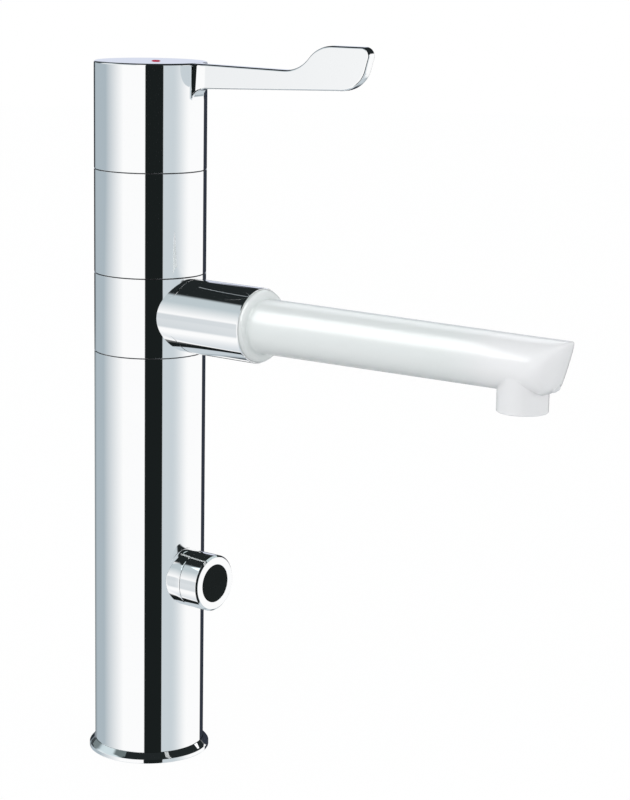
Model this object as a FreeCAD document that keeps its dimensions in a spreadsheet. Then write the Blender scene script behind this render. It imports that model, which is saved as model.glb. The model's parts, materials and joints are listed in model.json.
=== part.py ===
"""Sensor mixer tap: column with sensor, swivelling plug-in spout and mixing lever.

The origin lies on the column's axis at deck level, +Z is up, and the spout and the sensor point
to -Y. Lengths are millimetres and angles are degrees. Hot is on the -X side, cold on the +X side.
"""
import FreeCAD, Part

import math
import os
from types import SimpleNamespace

import Sketcher

# Every size that can be set by itself: alias, value, what it is.
SIZES = [
    ("column_dia", 50.0, "outside of column, collar and cap"),
    ("column_wall", 2.5, "wall of the two column tubes"),
    ("lower_length", 184.8, "lower column tube"),
    ("collar_height", 35.0, "swivelling collar"),
    ("upper_length", 45.8, "upper column sleeve"),
    ("cap_height", 47.0, "cap"),
    ("seam_gap", 0.4, "open joint line between two sections"),
    ("seam_inset", 0.5, "glide ring set back from the outside"),
    ("glide_play", 0.1, "axial play over a glide ring"),
    ("block_fit", 0.2, "radial play of inner blocks in the tubes"),
    ("thread_fit", 0.05, "radial play drawn on threads and soldered seats"),
    ("base_overhang", 2.6, "foot ring beyond the column, radial"),
    ("base_height", 4.8, "foot ring height"),
    ("lip_height", 2.0, "foot ring's lip below the tube"),
    ("lip_width", 2.0, "foot ring's lip inside the column's outside"),
    ("ring_fit", 0.1, "radial play of the tube in the foot ring"),
    ("gasket_width", 2.0, "deck gasket, radial"),
    ("gasket_depth", 1.4, "deck gasket, axial"),
    ("inlet_dia", 10.0, "hose thread in the manifold"),
    ("inlet_depth", 12.0, "hose thread length"),
    ("way_x", 8.0, "hot and cold ways, off the middle"),
    ("way_y", 8.0, "hot and cold ways, behind the axis"),
    ("chamber_dia", 9.0, "chamber of strainer and check valve"),
    ("chamber_depth", 14.0, "length of that chamber"),
    ("throat_dia", 6.0, "water way above the check valve"),
    ("throat_depth", 1.0, "length of that throat"),
    ("riser_dia", 8.0, "riser tube outside"),
    ("riser_bore", 6.0, "riser tube inside"),
    ("riser_seat", 6.0, "riser tube's depth in its seats"),
    ("stud_dia", 8.0, "fixing stud thread, on the axis"),
    ("stud_depth", 18.0, "fixing stud thread length"),
    ("set_screw_dia", 4.0, "set screws of the tubes"),
    ("set_screw_room", 1.0, "set screws short of the cartridge body"),
    ("set_screw_inset", 0.5, "set screws below the tube's surface"),
    ("foot_screw_low", 9.0, "lower foot screw above the deck"),
    ("foot_screw_high", 21.0, "upper foot screw above the deck"),
    ("core_screw_drop", 18.0, "core screw below the lower tube's top"),
    ("housing_screw_rise", 22.0, "housing screw above the upper sleeve's foot"),
    ("strainer_height", 1.0, "inlet strainer"),
    ("strainer_hole", 1.2, "strainer hole"),
    ("check_wall", 1.0, "check valve body wall"),
    ("check_floor", 1.2, "check valve seat and guide thickness"),
    ("check_port", 4.4, "check valve seat opening"),
    ("check_hole", 1.4, "flow hole in the check valve's guide"),
    ("poppet_dia", 5.8, "check valve poppet head"),
    ("poppet_head", 1.4, "poppet head thickness"),
    ("poppet_stem", 2.0, "poppet stem"),
    ("small_play", 0.1, "play between small sliding pieces"),
    ("check_wire", 0.5, "check spring wire"),
    ("check_coil_dia", 4.2, "check spring, middle of the wire"),
    ("spring_turns", 6.0, "turns of each spring"),
    ("bracket_thick", 2.0, "electronics bracket plate"),
    ("bracket_room", 8.5, "tube's bore beyond the electronics bracket, each side"),
    ("bracket_screw_dia", 3.0, "screws of the bracket and the solenoid valve"),
    ("bracket_screw_length", 8.0, "length of those screws"),
    ("screw_head_dia", 5.5, "their heads"),
    ("screw_head_height", 2.4, "their heads' height"),
    ("battery_dia", 17.0, "battery cell"),
    ("battery_length", 34.5, "battery cell length"),
    ("battery_gap", 0.2, "room round the cells"),
    ("module_width", 26.0, "control module"),
    ("module_depth", 11.0, "control module, front to back"),
    ("module_height", 27.0, "control module height"),
    ("sensor_height", 85.0, "sensor's axis above the deck"),
    ("sensor_dia", 25.4, "sensor barrel"),
    ("sensor_stand", 14.75, "sensor's face beyond the column"),
    ("sensor_seam", 4.5, "joint line in the barrel, beyond the column"),
    ("sensor_groove", 0.4, "width of that joint line"),
    ("sensor_register", 23.0, "bezel's spigot in the sleeve"),
    ("register_depth", 2.2, "length of that spigot"),
    ("sensor_bore", 14.6, "bore through sleeve and bezel"),
    ("sensor_chamfer", 0.8, "front edge of the bezel"),
    ("lens_dia", 17.1, "black window"),
    ("lens_depth", 3.0, "window thickness"),
    ("lens_inset", 0.15, "window behind the bezel's face"),
    ("shank_dia", 18.0, "sensor's threaded shank"),
    ("shank_depth", 9.5, "shank's length inside the tube"),
    ("sensor_nut_dia", 22.0, "nut on the shank, over its corners"),
    ("sensor_nut_height", 5.0, "that nut's height"),
    ("board_thick", 1.2, "sensor board"),
    ("diode_dia", 3.2, "infrared diodes"),
    ("diode_x", 3.4, "diodes off the middle"),
    ("diode_length", 3.6, "diodes' length"),
    ("lead_dia", 2.4, "sensor and solenoid leads"),
    ("core_plug", 37.0, "swivel core's length inside the lower tube"),
    ("journal_dia", 36.0, "swivel core where the collar turns"),
    ("spigot_dia", 32.0, "swivel core's top spigot"),
    ("spigot_height", 7.4, "height of that spigot"),
    ("mixed_x", 7.0, "mixed water way, towards hot"),
    ("mixed_dia", 5.0, "mixed water way"),
    ("outlet_way_dia", 5.5, "water way from the solenoid valve to the spout"),
    ("water_groove_width", 10.4, "annular groove that feeds the spout"),
    ("water_groove_depth", 2.4, "depth of that groove"),
    ("seal_cord", 1.7, "O-ring cord"),
    ("seal_room", 0.04, "room under an O-ring"),
    ("seal_groove", 2.3, "O-ring groove width"),
    ("seal_pitch", 8.2, "swivel seals above and below the spout's axis"),
    ("journal_gap", 0.15, "radial gap of the collar on the journal"),
    ("bush_gap", 0.06, "radial gap of the bushes on the journal"),
    ("bush_wall", 1.9, "swivel bush wall"),
    ("bush_height", 3.0, "swivel bush height"),
    ("bush_low", 4.0, "lower bush above the collar's foot"),
    ("bush_high", 3.0, "upper bush below the collar's top"),
    ("stop_pin_dia", 2.0, "swivel stop pin"),
    ("stop_pin_edge", 1.5, "stop pin's middle from the core's edge"),
    ("stop_pin_depth", 5.0, "stop pin's depth in the core"),
    ("stop_pin_rise", 2.6, "stop pin above the core's shoulder"),
    ("stop_room", 0.3, "room round the stop pin"),
    ("swivel_sweep", 70.0, "swivel to each side"),
    ("socket_dia", 33.0, "spout socket outside"),
    ("socket_reach", 65.0, "socket's mouth from the column's axis"),
    ("socket_drop", 0.5, "socket below the collar's top edge"),
    ("water_bore", 14.0, "water way into the socket"),
    ("plug_start", 28.0, "spout plug's inner end from the column's axis"),
    ("plug_dia", 22.0, "spout plug"),
    ("plug_fit", 0.1, "radial play of the plug"),
    ("shoulder_dia", 31.6, "spout's shoulder"),
    ("shoulder_depth", 4.0, "shoulder inside the socket's mouth"),
    ("shoulder_land", 26.4, "inner edge of the shoulder's flat"),
    ("shoulder_cove", 1.2, "depth of the cove round the tube"),
    ("plug_seal_first", 5.0, "first plug seal from the plug's end"),
    ("plug_seal_second", 10.0, "second plug seal from the plug's end"),
    ("clip_place", 22.0, "snap ring from the plug's end"),
    ("clip_cord", 1.3, "snap ring wire"),
    ("clip_relief", 0.6, "socket's relief outside the snap ring"),
    ("tube_root_dia", 23.8, "spout tube at the shoulder"),
    ("tube_tip_dia", 22.1, "spout tube at the tip"),
    ("spout_bore", 16.0, "water way in the spout"),
    ("spout_reach", 200.0, "outlet's axis from the column's axis"),
    ("tip_overhang", 22.5, "spout's tip beyond the outlet's axis"),
    ("tip_slant", 23.0, "tip's lean from the vertical"),
    ("nozzle_dia", 20.8, "outlet outside"),
    ("nozzle_drop", 18.5, "outlet's face below the spout's axis"),
    ("straightener_wall", 0.8, "flow straightener ring and vanes"),
    ("straightener_height", 8.0, "flow straightener height"),
    ("straightener_inset", 1.0, "straightener above the outlet's face"),
    ("solenoid_shift", 0.25, "solenoid valve behind the middle of its room"),
    ("solenoid_dia", 23.0, "solenoid valve body"),
    ("solenoid_height", 17.6, "solenoid valve body height"),
    ("solenoid_wall", 2.0, "its wall round the diaphragm"),
    ("cavity_depth", 4.8, "diaphragm chamber depth"),
    ("seat_width", 1.25, "valve seat's rim"),
    ("seat_rise", 1.0, "valve seat's height"),
    ("ear_x", 14.5, "valve screws off the middle"),
    ("ear_width", 7.0, "valve body's ears"),
    ("ear_height", 4.0, "ears' thickness"),
    ("pilot_inlet_dia", 4.0, "valve inlet"),
    ("web_thick", 1.2, "diaphragm web"),
    ("bead_width", 1.1, "diaphragm bead"),
    ("flange_thick", 1.5, "armature tube flange"),
    ("armature_dia", 9.0, "armature tube outside"),
    ("armature_bore", 7.0, "armature tube inside"),
    ("coil_dia", 19.0, "solenoid coil"),
    ("coil_length", 23.0, "solenoid coil length"),
    ("coil_nut_dia", 14.0, "coil nut over its corners"),
    ("coil_nut_height", 3.0, "coil nut height"),
    ("plunger_floor", 3.0, "plunger's end above the tube's closed end"),
    ("plunger_tip_dia", 2.4, "plunger tip"),
    ("plunger_tip", 1.4, "plunger tip height"),
    ("pocket_dia", 5.0, "spring pocket in the plunger"),
    ("pocket_depth", 8.0, "depth of that pocket"),
    ("plunger_coil_dia", 3.8, "plunger spring, middle of the wire"),
    ("housing_drop", 2.0, "cartridge housing below the upper sleeve's top"),
    ("housing_wall", 4.8, "cartridge housing round the cartridge"),
    ("cartridge_base_height", 3.0, "cartridge base"),
    ("port_dia", 4.4, "cartridge ports"),
    ("port_seal_dia", 8.2, "port seals outside"),
    ("port_seal_bore", 6.1, "port seals inside"),
    ("port_seal_height", 1.2, "port seals"),
    ("cartridge_wall", 3.5, "cartridge body round the discs"),
    ("disc_height", 4.0, "each ceramic disc"),
    ("disc_gap", 0.05, "drawn gap between the discs"),
    ("recess_depth", 2.0, "mixing recess in the moving disc"),
    ("driver_inset", 0.5, "spindle's driver inside the discs' edge"),
    ("driver_height", 5.0, "driver's height"),
    ("spindle_dia", 9.0, "spindle"),
    ("cartridge_height", 29.0, "cartridge body up to its shoulder"),
    ("neck_dia", 21.0, "cartridge neck"),
    ("neck_height", 10.0, "cartridge neck height"),
    ("cartridge_nut_height", 6.0, "cartridge nut"),
    ("adaptor_wall", 2.35, "spline adaptor wall"),
    ("adaptor_length", 17.0, "spline adaptor length"),
    ("cap_wall", 3.5, "cap side wall"),
    ("cap_top", 5.0, "cap top"),
    ("boss_dia", 21.0, "cap's boss on the adaptor"),
    ("boss_gap", 1.5, "boss above the cartridge neck"),
    ("lever_screw_dia", 5.0, "screw of the cap"),
    ("lever_screw_length", 5.5, "length of that screw"),
    ("lever_screw_rise", 8.5, "that screw above the boss's foot"),
    ("cap_edge", 0.7, "rounding of the cap's top edge"),
    ("lever_angle", 8.3, "lever's rest angle from the spout, towards cold"),
    ("lever_thick", 5.5, "lever blade"),
    ("lever_flare", 6.0, "root fillet at the lever's sides"),
    ("lever_under", 5.0, "root fillet below the lever"),
    ("lever_depth", 10.4, "blade's lower edge below the cap's top, at the root"),
    ("paddle_length", 40.9, "end of the straight top edge, before the lever's end"),
    ("neck_fall", 0.6, "fall of that edge"),
    ("rise_length", 23.0, "length of the S-shaped rise"),
    ("paddle_rise", 10.0, "paddle's top above the cap's top"),
    ("paddle_drop", 8.2, "paddle's lower edge below the cap's top"),
    ("heel_length", 14.9, "start of the lower corner's round, before the lever's end"),
    ("corner_length", 3.5, "end of the paddle's top edge, before the lever's end"),
    ("lever_reach", 110.9, "lever's end from the column's axis"),
    ("corner_drop", 3.9, "upper corner below the paddle's top"),
    ("end_lean", 1.9, "lever end's lean"),
    ("end_drop", 0.6, "start of the lower corner below the cap's top"),
    ("corner_round", 4.0, "upper corner of the paddle"),
    ("heel_round", 13.0, "lower corner of the paddle"),
    ("index_dia", 4.0, "index dot"),
    ("index_depth", 2.4, "index dot's depth"),
    ("index_offset", 2.75, "index dot before the cap's middle"),
    ("index_proud", 0.1, "index dot above the cap"),
]

DOC = FreeCAD.newDocument("sensor_mixer_tap")
NODES = []


# Sizes that carry their sheet formula


class Size:
    """A number together with the sheet formula that gives it."""

    def __init__(self, value, text):
        self.value = float(value)
        self.text = text

    def __add__(self, other):
        return Size(self.value + number(other), f"({self.text} + {formula(other)})")

    def __radd__(self, other):
        return Size(number(other) + self.value, f"({formula(other)} + {self.text})")

    def __sub__(self, other):
        return Size(self.value - number(other), f"({self.text} - {formula(other)})")

    def __rsub__(self, other):
        return Size(number(other) - self.value, f"({formula(other)} - {self.text})")

    def __mul__(self, other):
        return Size(self.value * number(other), f"({self.text} * {formula(other)})")

    __rmul__ = __mul__

    def __truediv__(self, other):
        return Size(self.value / number(other), f"({self.text} / {formula(other)})")

    def __neg__(self):
        return Size(-self.value, f"(0 - {self.text})")


def number(item):
    return item.value if isinstance(item, Size) else float(item)


def formula(item):
    return item.text if isinstance(item, Size) else repr(float(item))


def root(size):
    return Size(math.sqrt(size.value), f"sqrt({size.text})")


def sine(angle):
    return Size(math.sin(math.radians(angle.value)), f"sin({angle.text} * 1 deg)")


def cosine(angle):
    return Size(math.cos(math.radians(angle.value)), f"cos({angle.text} * 1 deg)")


def make_sheet():
    sheet = DOC.addObject("Spreadsheet::Sheet", "Sizes")
    for row, (alias, value, note) in enumerate(SIZES, start=1):
        sheet.set(f"A{row}", alias)
        sheet.set(f"B{row}", str(value))
        sheet.setAlias(f"B{row}", alias)
        sheet.set(f"C{row}", note)
    DOC.recompute()
    return SimpleNamespace(**{a: Size(sheet.get(a), f"Sizes.{a}") for a, _, _ in SIZES})


# Bound features


def bind(item, name, size):
    """Binds one property to its formula."""
    item.setExpression(name, formula(size))


def place(item, x=0, y=0, z=0):
    for axis, size in zip("xyz", (x, y, z)):
        if number(size) != 0:
            bind(item, f"Placement.Base.{axis}", size)


TO_FRONT = FreeCAD.Rotation(FreeCAD.Vector(1, 0, 0), 90)
TO_BACK = FreeCAD.Rotation(FreeCAD.Vector(1, 0, 0), -90)
UPRIGHT = FreeCAD.Rotation()


def turn(item, rotation):
    item.Placement = FreeCAD.Placement(FreeCAD.Vector(), rotation)


def rod(name, dia, length, x=0, y=0, z=0, rotation=UPRIGHT):
    """A plain cylinder that starts at the given point."""
    item = DOC.addObject("Part::Cylinder", name)
    turn(item, rotation)
    bind(item, "Radius", dia / 2)
    bind(item, "Height", length)
    place(item, x, y, z)
    return item


def plate(name, size_x, size_y, size_z, x, y, z):
    """A box whose corner with the least coordinates is the given point."""
    item = DOC.addObject("Part::Box", name)
    bind(item, "Length", size_x)
    bind(item, "Width", size_y)
    bind(item, "Height", size_z)
    place(item, x, y, z)
    return item


def hexagon(name, corner_dia, height, x=0, y=0, z=0, rotation=UPRIGHT):
    item = DOC.addObject("Part::Prism", name)
    item.Polygon = 6
    turn(item, rotation)
    bind(item, "Circumradius", corner_dia / 2)
    bind(item, "Height", height)
    place(item, x, y, z)
    return item


def o_ring(name, middle_dia, cord, y=0, z=0, rotation=UPRIGHT):
    item = DOC.addObject("Part::Torus", name)
    turn(item, rotation)
    bind(item, "Radius1", middle_dia / 2)
    bind(item, "Radius2", cord / 2)
    place(item, 0, y, z)
    return item


def fuse(name, *items):
    item = DOC.addObject("Part::MultiFuse", name)
    item.Shapes = list(items)
    return item


def cut(name, base, *tools):
    item = DOC.addObject("Part::Cut", name)
    item.Base = base
    item.Tool = tools[0] if len(tools) == 1 else fuse(name + "_tools", *tools)
    return item


def common(name, first, second):
    item = DOC.addObject("Part::MultiCommon", name)
    item.Shapes = [first, second]
    return item


def group(name, *items):
    """Separate alike solids that share one node."""
    item = DOC.addObject("Part::Compound", name)
    item.Links = list(items)
    return item


def tube(name, outer_dia, inner_dia, height, x=0, y=0, z=0, rotation=UPRIGHT):
    outer = rod(name + "_outside", outer_dia, height, x, y, z, rotation)
    inner = rod(name + "_inside", inner_dia, height, x, y, z, rotation)
    return cut(name, outer, inner)


def node(item, label):
    """Names a finished sub-part; the label is its file's name."""
    item.Label = label
    NODES.append(item)
    return item


# Bodies from sketches


def origin_plane(body, role):
    return next(f for f in body.Origin.OriginFeatures if f.Role == role)


def new_sketch(body, name, role):
    sketch = body.newObject("Sketcher::SketchObject", name)
    sketch.AttachmentSupport = (origin_plane(body, role), [""])
    sketch.MapMode = "FlatFace"
    return sketch


def arc_between(start, end, radius, left):
    """The shorter arc between two points, its centre on the left or right of the way from start to end."""
    chord = end - start
    side = FreeCAD.Vector(-chord.y, chord.x, 0).normalize() * (1 if left else -1)
    height = math.sqrt(max(radius**2 - (chord.Length / 2) ** 2, 0))
    centre = start + chord / 2 + side * height
    first, last = (start, end) if left else (end, start)
    angles = [math.atan2(p.y - centre.y, p.x - centre.x) for p in (first, last)]
    return Part.ArcOfCircle(Part.Circle(centre, FreeCAD.Vector(0, 0, 1), radius), *angles)


def pin_point(sketch, edge, end, x, y):
    """Dimensions one end of an edge from the sketch's origin."""
    for axis, letter, size in ((-2, "X", x), (-1, "Y", y)):
        if number(size) == 0:
            sketch.addConstraint(Sketcher.Constraint("PointOnObject", edge, end, axis))
            continue
        index = sketch.addConstraint(
            Sketcher.Constraint("Distance" + letter, -1, 1, edge, end, number(size))
        )
        label = f"{letter.lower()}{edge}_{end}"
        sketch.renameConstraint(index, label)
        bind(sketch, f"Constraints.{label}", size)


def draw_outline(sketch, points, arcs=None):
    """Draws a closed outline; arcs gives {edge: (radius, centre on the left)} for round stretches."""
    arcs = arcs or {}
    spots = [FreeCAD.Vector(number(x), number(y), 0) for x, y in points]
    count = len(points)
    ends = []
    for edge in range(count):
        start, end = spots[edge], spots[(edge + 1) % count]
        if edge not in arcs:
            sketch.addGeometry(Part.LineSegment(start, end))
            ends.append((1, 2))
            continue
        radius, left = arcs[edge]
        sketch.addGeometry(arc_between(start, end, number(radius), left))
        ends.append((1, 2) if left else (2, 1))
        index = sketch.addConstraint(Sketcher.Constraint("Radius", edge, number(radius)))
        sketch.renameConstraint(index, f"radius{edge}")
        bind(sketch, f"Constraints.radius{edge}", radius)
    for edge in range(count):
        after = (edge + 1) % count
        sketch.addConstraint(
            Sketcher.Constraint("Coincident", edge, ends[edge][1], after, ends[after][0])
        )
        pin_point(sketch, edge, ends[edge][0], *points[edge])


def lathe(name, points, rotation=UPRIGHT, y=0, z=0):
    """A turned body: the outline's points are (radius, height) about the body's own Z axis."""
    body = DOC.addObject("PartDesign::Body", name)
    sketch = new_sketch(body, name + "_profile", "XZ_Plane")
    draw_outline(sketch, points)
    spin = body.newObject("PartDesign::Revolution", name + "_turned")
    spin.Profile = sketch
    spin.ReferenceAxis = (sketch, ["V_Axis"])
    spin.Angle = 360
    turn(body, rotation)
    place(body, 0, y, z)
    return body


def padded(name, role, thickness, points, arcs=None):
    """A body of even thickness, half on each side of one of its origin planes."""
    body = DOC.addObject("PartDesign::Body", name)
    sketch = new_sketch(body, name + "_outline", role)
    draw_outline(sketch, points, arcs)
    pad = body.newObject("PartDesign::Pad", name + "_pad")
    pad.Profile = sketch
    pad.Midplane = True
    bind(pad, "Length", thickness)
    return body


def soften(body, name, radius, wanted):
    """Rounds the edges of a body that the test picks."""
    DOC.recompute()
    base = body.Tip
    edges = [f"Edge{i}" for i, e in enumerate(base.Shape.Edges, start=1) if wanted(e)]
    fillet = body.newObject("PartDesign::Fillet", name)
    fillet.Base = (base, edges)
    bind(fillet, "Radius", radius)
    body.Tip = fillet
    return body


def circle_at(radius, height):
    """A test for the round edge with this radius and height about Z."""

    def wanted(edge):
        curve = edge.Curve
        if not isinstance(curve, Part.Circle):
            return False
        return abs(curve.Radius - number(radius)) < 1e-4 and abs(curve.Center.z - number(height)) < 1e-4

    return wanted


# Wound springs


def biarc(start, start_way, end, end_way):
    """Two arcs that join two points along the given directions."""
    span = end - start
    total = start_way + end_way
    a = 2 * (start_way.dot(end_way) - 1)
    b = -2 * span.dot(total)
    reach = (-b - math.sqrt(b * b - 4 * a * span.dot(span))) / (2 * a)
    first, last = start + start_way * reach, end - end_way * reach
    joint = (first + last) / 2
    return [arc_edge(start, first, joint), arc_edge(joint, last, end)]


def arc_edge(start, corner, end):
    """The arc that touches both lines start-corner and corner-end."""
    middle = (start + end) / 2
    half = (end - start).Length / 2
    rise = (corner - middle).Length
    sagitta = half * math.tan(math.atan2(rise, half) / 2)
    top = middle + (corner - middle) * (sagitta / rise)
    return Part.Arc(start, top, end).toShape()


def spring(name, coil_dia, wire, turns, x, y, low, high):
    """One unbroken wire wound from one height to the other, about a vertical axis."""
    radius, thick = number(coil_dia) / 2, number(wire)
    first, count = number(low) + thick / 2, 4 * round(number(turns))
    pitch = (number(high) - number(low) - thick) / number(turns)
    slope = pitch / (2 * math.pi)

    def spot(step):
        angle = step * math.pi / 2
        return FreeCAD.Vector(
            number(x) + radius * math.cos(angle), number(y) + radius * math.sin(angle), first + slope * angle
        )

    def way(step):
        angle = step * math.pi / 2
        return FreeCAD.Vector(-radius * math.sin(angle), radius * math.cos(angle), slope).normalize()

    edges = []
    for step in range(count):
        edges += biarc(spot(step), way(step), spot(step + 1), way(step + 1))
    circle = Part.Wire(Part.Circle(spot(0), way(0), thick / 2).toShape())
    item = DOC.addObject("Part::Feature", name)
    item.Shape = Part.Wire(edges).makePipeShell([circle], True, False)
    print(f"{name}: gap between turns {pitch - thick:.2f} mm")
    return item


# Places that follow from the sizes


def work_out(mm):
    """Heights and radii that several sub-parts share."""
    at = SimpleNamespace()
    at.lower_top = mm.lip_height + mm.lower_length
    at.collar_foot = at.lower_top + mm.seam_gap
    at.collar_top = at.collar_foot + mm.collar_height
    at.upper_foot = at.collar_top + mm.seam_gap
    at.upper_top = at.upper_foot + mm.upper_length
    at.cap_foot = at.upper_top + mm.seam_gap
    at.cap_top = at.cap_foot + mm.cap_height
    at.tube_bore = mm.column_dia - 2 * mm.column_wall
    at.block_dia = at.tube_bore - 2 * mm.block_fit
    at.cartridge_dia = at.block_dia - 2 * mm.housing_wall
    at.disc_dia = at.cartridge_dia - 2 * mm.cartridge_wall
    at.driver_dia = at.disc_dia - 2 * mm.driver_inset
    at.set_screw_length = (mm.column_dia - at.cartridge_dia) / 2 - mm.set_screw_inset - mm.set_screw_room
    at.bracket_width = at.tube_bore - 2 * mm.bracket_room
    at.sensor_reach = mm.column_dia / 2 + mm.sensor_stand
    at.sensor_seam = mm.column_dia / 2 + mm.sensor_seam
    at.shank_inner = at.tube_bore / 2 - mm.shank_depth
    at.stop_pin_radius = at.block_dia / 2 - mm.stop_pin_edge
    at.solenoid_y = (at.tube_bore / 2 - mm.way_y + mm.riser_dia / 2) / 2 - mm.solenoid_shift
    at.chamber = mm.inlet_depth
    at.throat = at.chamber + mm.chamber_depth
    at.riser_foot = at.throat + mm.throat_depth
    at.manifold_top = at.riser_foot + mm.riser_seat
    at.core_foot = at.lower_top - mm.core_plug
    at.core_shoulder = at.lower_top + mm.seam_gap / 2
    at.spout_axis = at.collar_top - mm.socket_drop - mm.socket_dia / 2
    at.tip_reach = mm.spout_reach + mm.tip_overhang
    at.seat = at.upper_foot + mm.spigot_height
    at.screw_start = mm.column_dia / 2 - mm.set_screw_inset
    at.screw_heights = [
        mm.foot_screw_low,
        mm.foot_screw_high,
        at.lower_top - mm.core_screw_drop,
        at.upper_foot + mm.housing_screw_rise,
    ]
    at.ways = [(-mm.way_x, mm.way_y), (mm.way_x, mm.way_y)]
    at.mixed = (-mm.mixed_x, -at.solenoid_y)
    at.valve_foot = at.core_foot - mm.solenoid_height
    at.cavity_top = at.valve_foot + mm.cavity_depth
    at.valve_seat = at.cavity_top - mm.seat_rise
    at.cavity_dia = mm.solenoid_dia - 2 * mm.solenoid_wall
    at.coil_foot = at.valve_foot - mm.coil_length
    at.disc_foot = at.seat + mm.cartridge_base_height
    at.moving_foot = at.disc_foot + mm.disc_height + mm.disc_gap
    at.driver_foot = at.moving_foot + mm.disc_height
    at.neck_foot = at.disc_foot + mm.cartridge_height
    at.neck_top = at.neck_foot + mm.neck_height
    at.boss_foot = at.neck_top + mm.boss_gap
    at.spindle_top = at.boss_foot + mm.adaptor_length
    at.adaptor_dia = mm.spindle_dia + 2 * mm.adaptor_wall
    at.seal_bed = mm.seal_cord + 2 * mm.seal_room
    at.lever_x = sine(mm.lever_angle)
    at.lever_y = -cosine(mm.lever_angle)
    return at


# Foot and inlets


def base_ring(mm, at):
    outside = mm.column_dia / 2 + mm.base_overhang
    tube_hole = mm.column_dia / 2 + mm.ring_fit
    lip = mm.column_dia / 2 - mm.lip_width
    body = lathe("base_ring_turned", [
        (lip, 0), (outside, 0), (outside, mm.base_height), (tube_hole, mm.base_height),
        (tube_hole, mm.lip_height), (lip, mm.lip_height),
    ])
    soften(body, "base_round", outside - tube_hole - mm.ring_fit, circle_at(outside, mm.base_height))
    node(cut("base_ring", body, gasket(mm, "base_groove")), "base_ring")


def gasket(mm, name):
    """The deck gasket's ring, which is also the groove for it."""
    middle = mm.column_dia + mm.ring_fit
    return tube(name, middle + mm.gasket_width, middle - mm.gasket_width, mm.gasket_depth)


def base_gasket(mm, at):
    node(gasket(mm, "base_gasket"), "base_gasket")


def inlet_manifold(mm, at):
    block = rod("manifold_block", at.block_dia, at.manifold_top)
    holes = []
    for side, (x, y) in zip(("hot", "cold"), at.ways):
        holes += [
            rod(side + "_inlet", mm.inlet_dia, mm.inlet_depth, x, y),
            rod(side + "_chamber", mm.chamber_dia, mm.chamber_depth, x, y, at.chamber),
            rod(side + "_throat", mm.throat_dia, mm.throat_depth, x, y, at.throat),
            rod(side + "_seat", mm.riser_dia + 2 * mm.thread_fit, mm.riser_seat, x, y, at.riser_foot),
        ]
    holes.append(rod("stud_hole", mm.stud_dia, mm.stud_depth))
    holes += [screw_hole(mm, at, height, "manifold_screw_hole") for height in at.screw_heights[:2]]
    holes.append(
        rod("bracket_screw_hole", mm.bracket_screw_dia + 2 * mm.thread_fit, mm.bracket_screw_length,
            y=mm.way_y, z=at.manifold_top + mm.bracket_thick - mm.bracket_screw_length)
    )
    node(cut("inlet_manifold", block, *holes), "inlet_manifold")


def screw_hole(mm, at, height, name):
    """A set screw's hole from the back, from its inner end out past the tube."""
    inner = at.screw_start - at.set_screw_length
    reach = mm.column_dia / 2 - inner
    return rod(name, mm.set_screw_dia + 2 * mm.thread_fit, reach, y=inner, z=height, rotation=TO_BACK)


def set_screws(mm, at):
    inner = at.screw_start - at.set_screw_length
    screws = [
        rod("set_screw", mm.set_screw_dia, at.set_screw_length, y=inner, z=height, rotation=TO_BACK)
        for height in at.screw_heights
    ]
    node(group("set_screws", *screws), "set_screws")


def ring_of_holes(name, dia, height, circle_dia, count, x, y, z):
    holes = []
    for step in range(count):
        angle = 2 * math.pi * step / count
        holes.append(
            rod(name, dia, height, x + circle_dia / 2 * math.cos(angle),
                y + circle_dia / 2 * math.sin(angle), z)
        )
    return holes


def strainer(mm, at, side, x, y):
    disc = rod(side + "_strainer_disc", mm.chamber_dia - 2 * mm.small_play, mm.strainer_height,
               x, y, at.chamber)
    holes = ring_of_holes("strainer_hole", mm.strainer_hole, mm.strainer_height,
                          mm.chamber_dia * 0.6, 6, x, y, at.chamber)
    holes.append(rod("strainer_middle", mm.strainer_hole, mm.strainer_height, x, y, at.chamber))
    node(cut(side + "_strainer", disc, *holes), side + "_strainer")


def check_body(mm, at, side, x, y):
    foot = at.chamber + mm.strainer_height
    height = at.throat - foot
    outside = mm.chamber_dia - 2 * mm.small_play
    shell = rod(side + "_check_shell", outside, height, x, y, foot)
    room = rod("check_room", outside - 2 * mm.check_wall, height - 2 * mm.check_floor,
               x, y, foot + mm.check_floor)
    port = rod("check_port", mm.check_port, mm.check_floor, x, y, foot)
    guide_foot = at.throat - mm.check_floor
    guide = rod("check_guide", mm.poppet_stem + 2 * mm.small_play, mm.check_floor, x, y, guide_foot)
    flow = ring_of_holes("check_hole", mm.check_hole, mm.check_floor,
                         mm.poppet_stem + 2 * mm.small_play + 1.5 * mm.check_hole, 3, x, y, guide_foot)
    node(cut(side + "_check_body", shell, room, port, guide, *flow), side + "_check_body")


def poppet_foot(mm, at):
    return at.chamber + mm.strainer_height + mm.check_floor + mm.small_play


def check_poppet(mm, at, side, x, y):
    foot = poppet_foot(mm, at)
    head = rod(side + "_poppet_head", mm.poppet_dia, mm.poppet_head, x, y, foot)
    stem = rod(side + "_poppet_stem", mm.poppet_stem, at.throat - mm.check_floor / 2 - foot, x, y, foot)
    node(fuse(side + "_check_poppet", head, stem), side + "_check_poppet")


def check_spring(mm, at, side, x, y):
    low = poppet_foot(mm, at) + mm.poppet_head + mm.small_play
    high = at.throat - mm.check_floor - mm.small_play
    node(spring(side + "_check_spring", mm.check_coil_dia, mm.check_wire, mm.spring_turns, x, y, low, high),
         side + "_check_spring")


def riser(mm, at, side, x, y):
    length = at.core_foot + mm.riser_seat - at.riser_foot
    node(tube(side + "_riser", mm.riser_dia, mm.riser_bore, length, x, y, at.riser_foot), side + "_riser")


def inlets(mm, at):
    for side, (x, y) in zip(("hot", "cold"), at.ways):
        for make in (strainer, check_body, check_poppet, check_spring, riser):
            make(mm, at, side, x, y)


# Column tubes and joint lines


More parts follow.
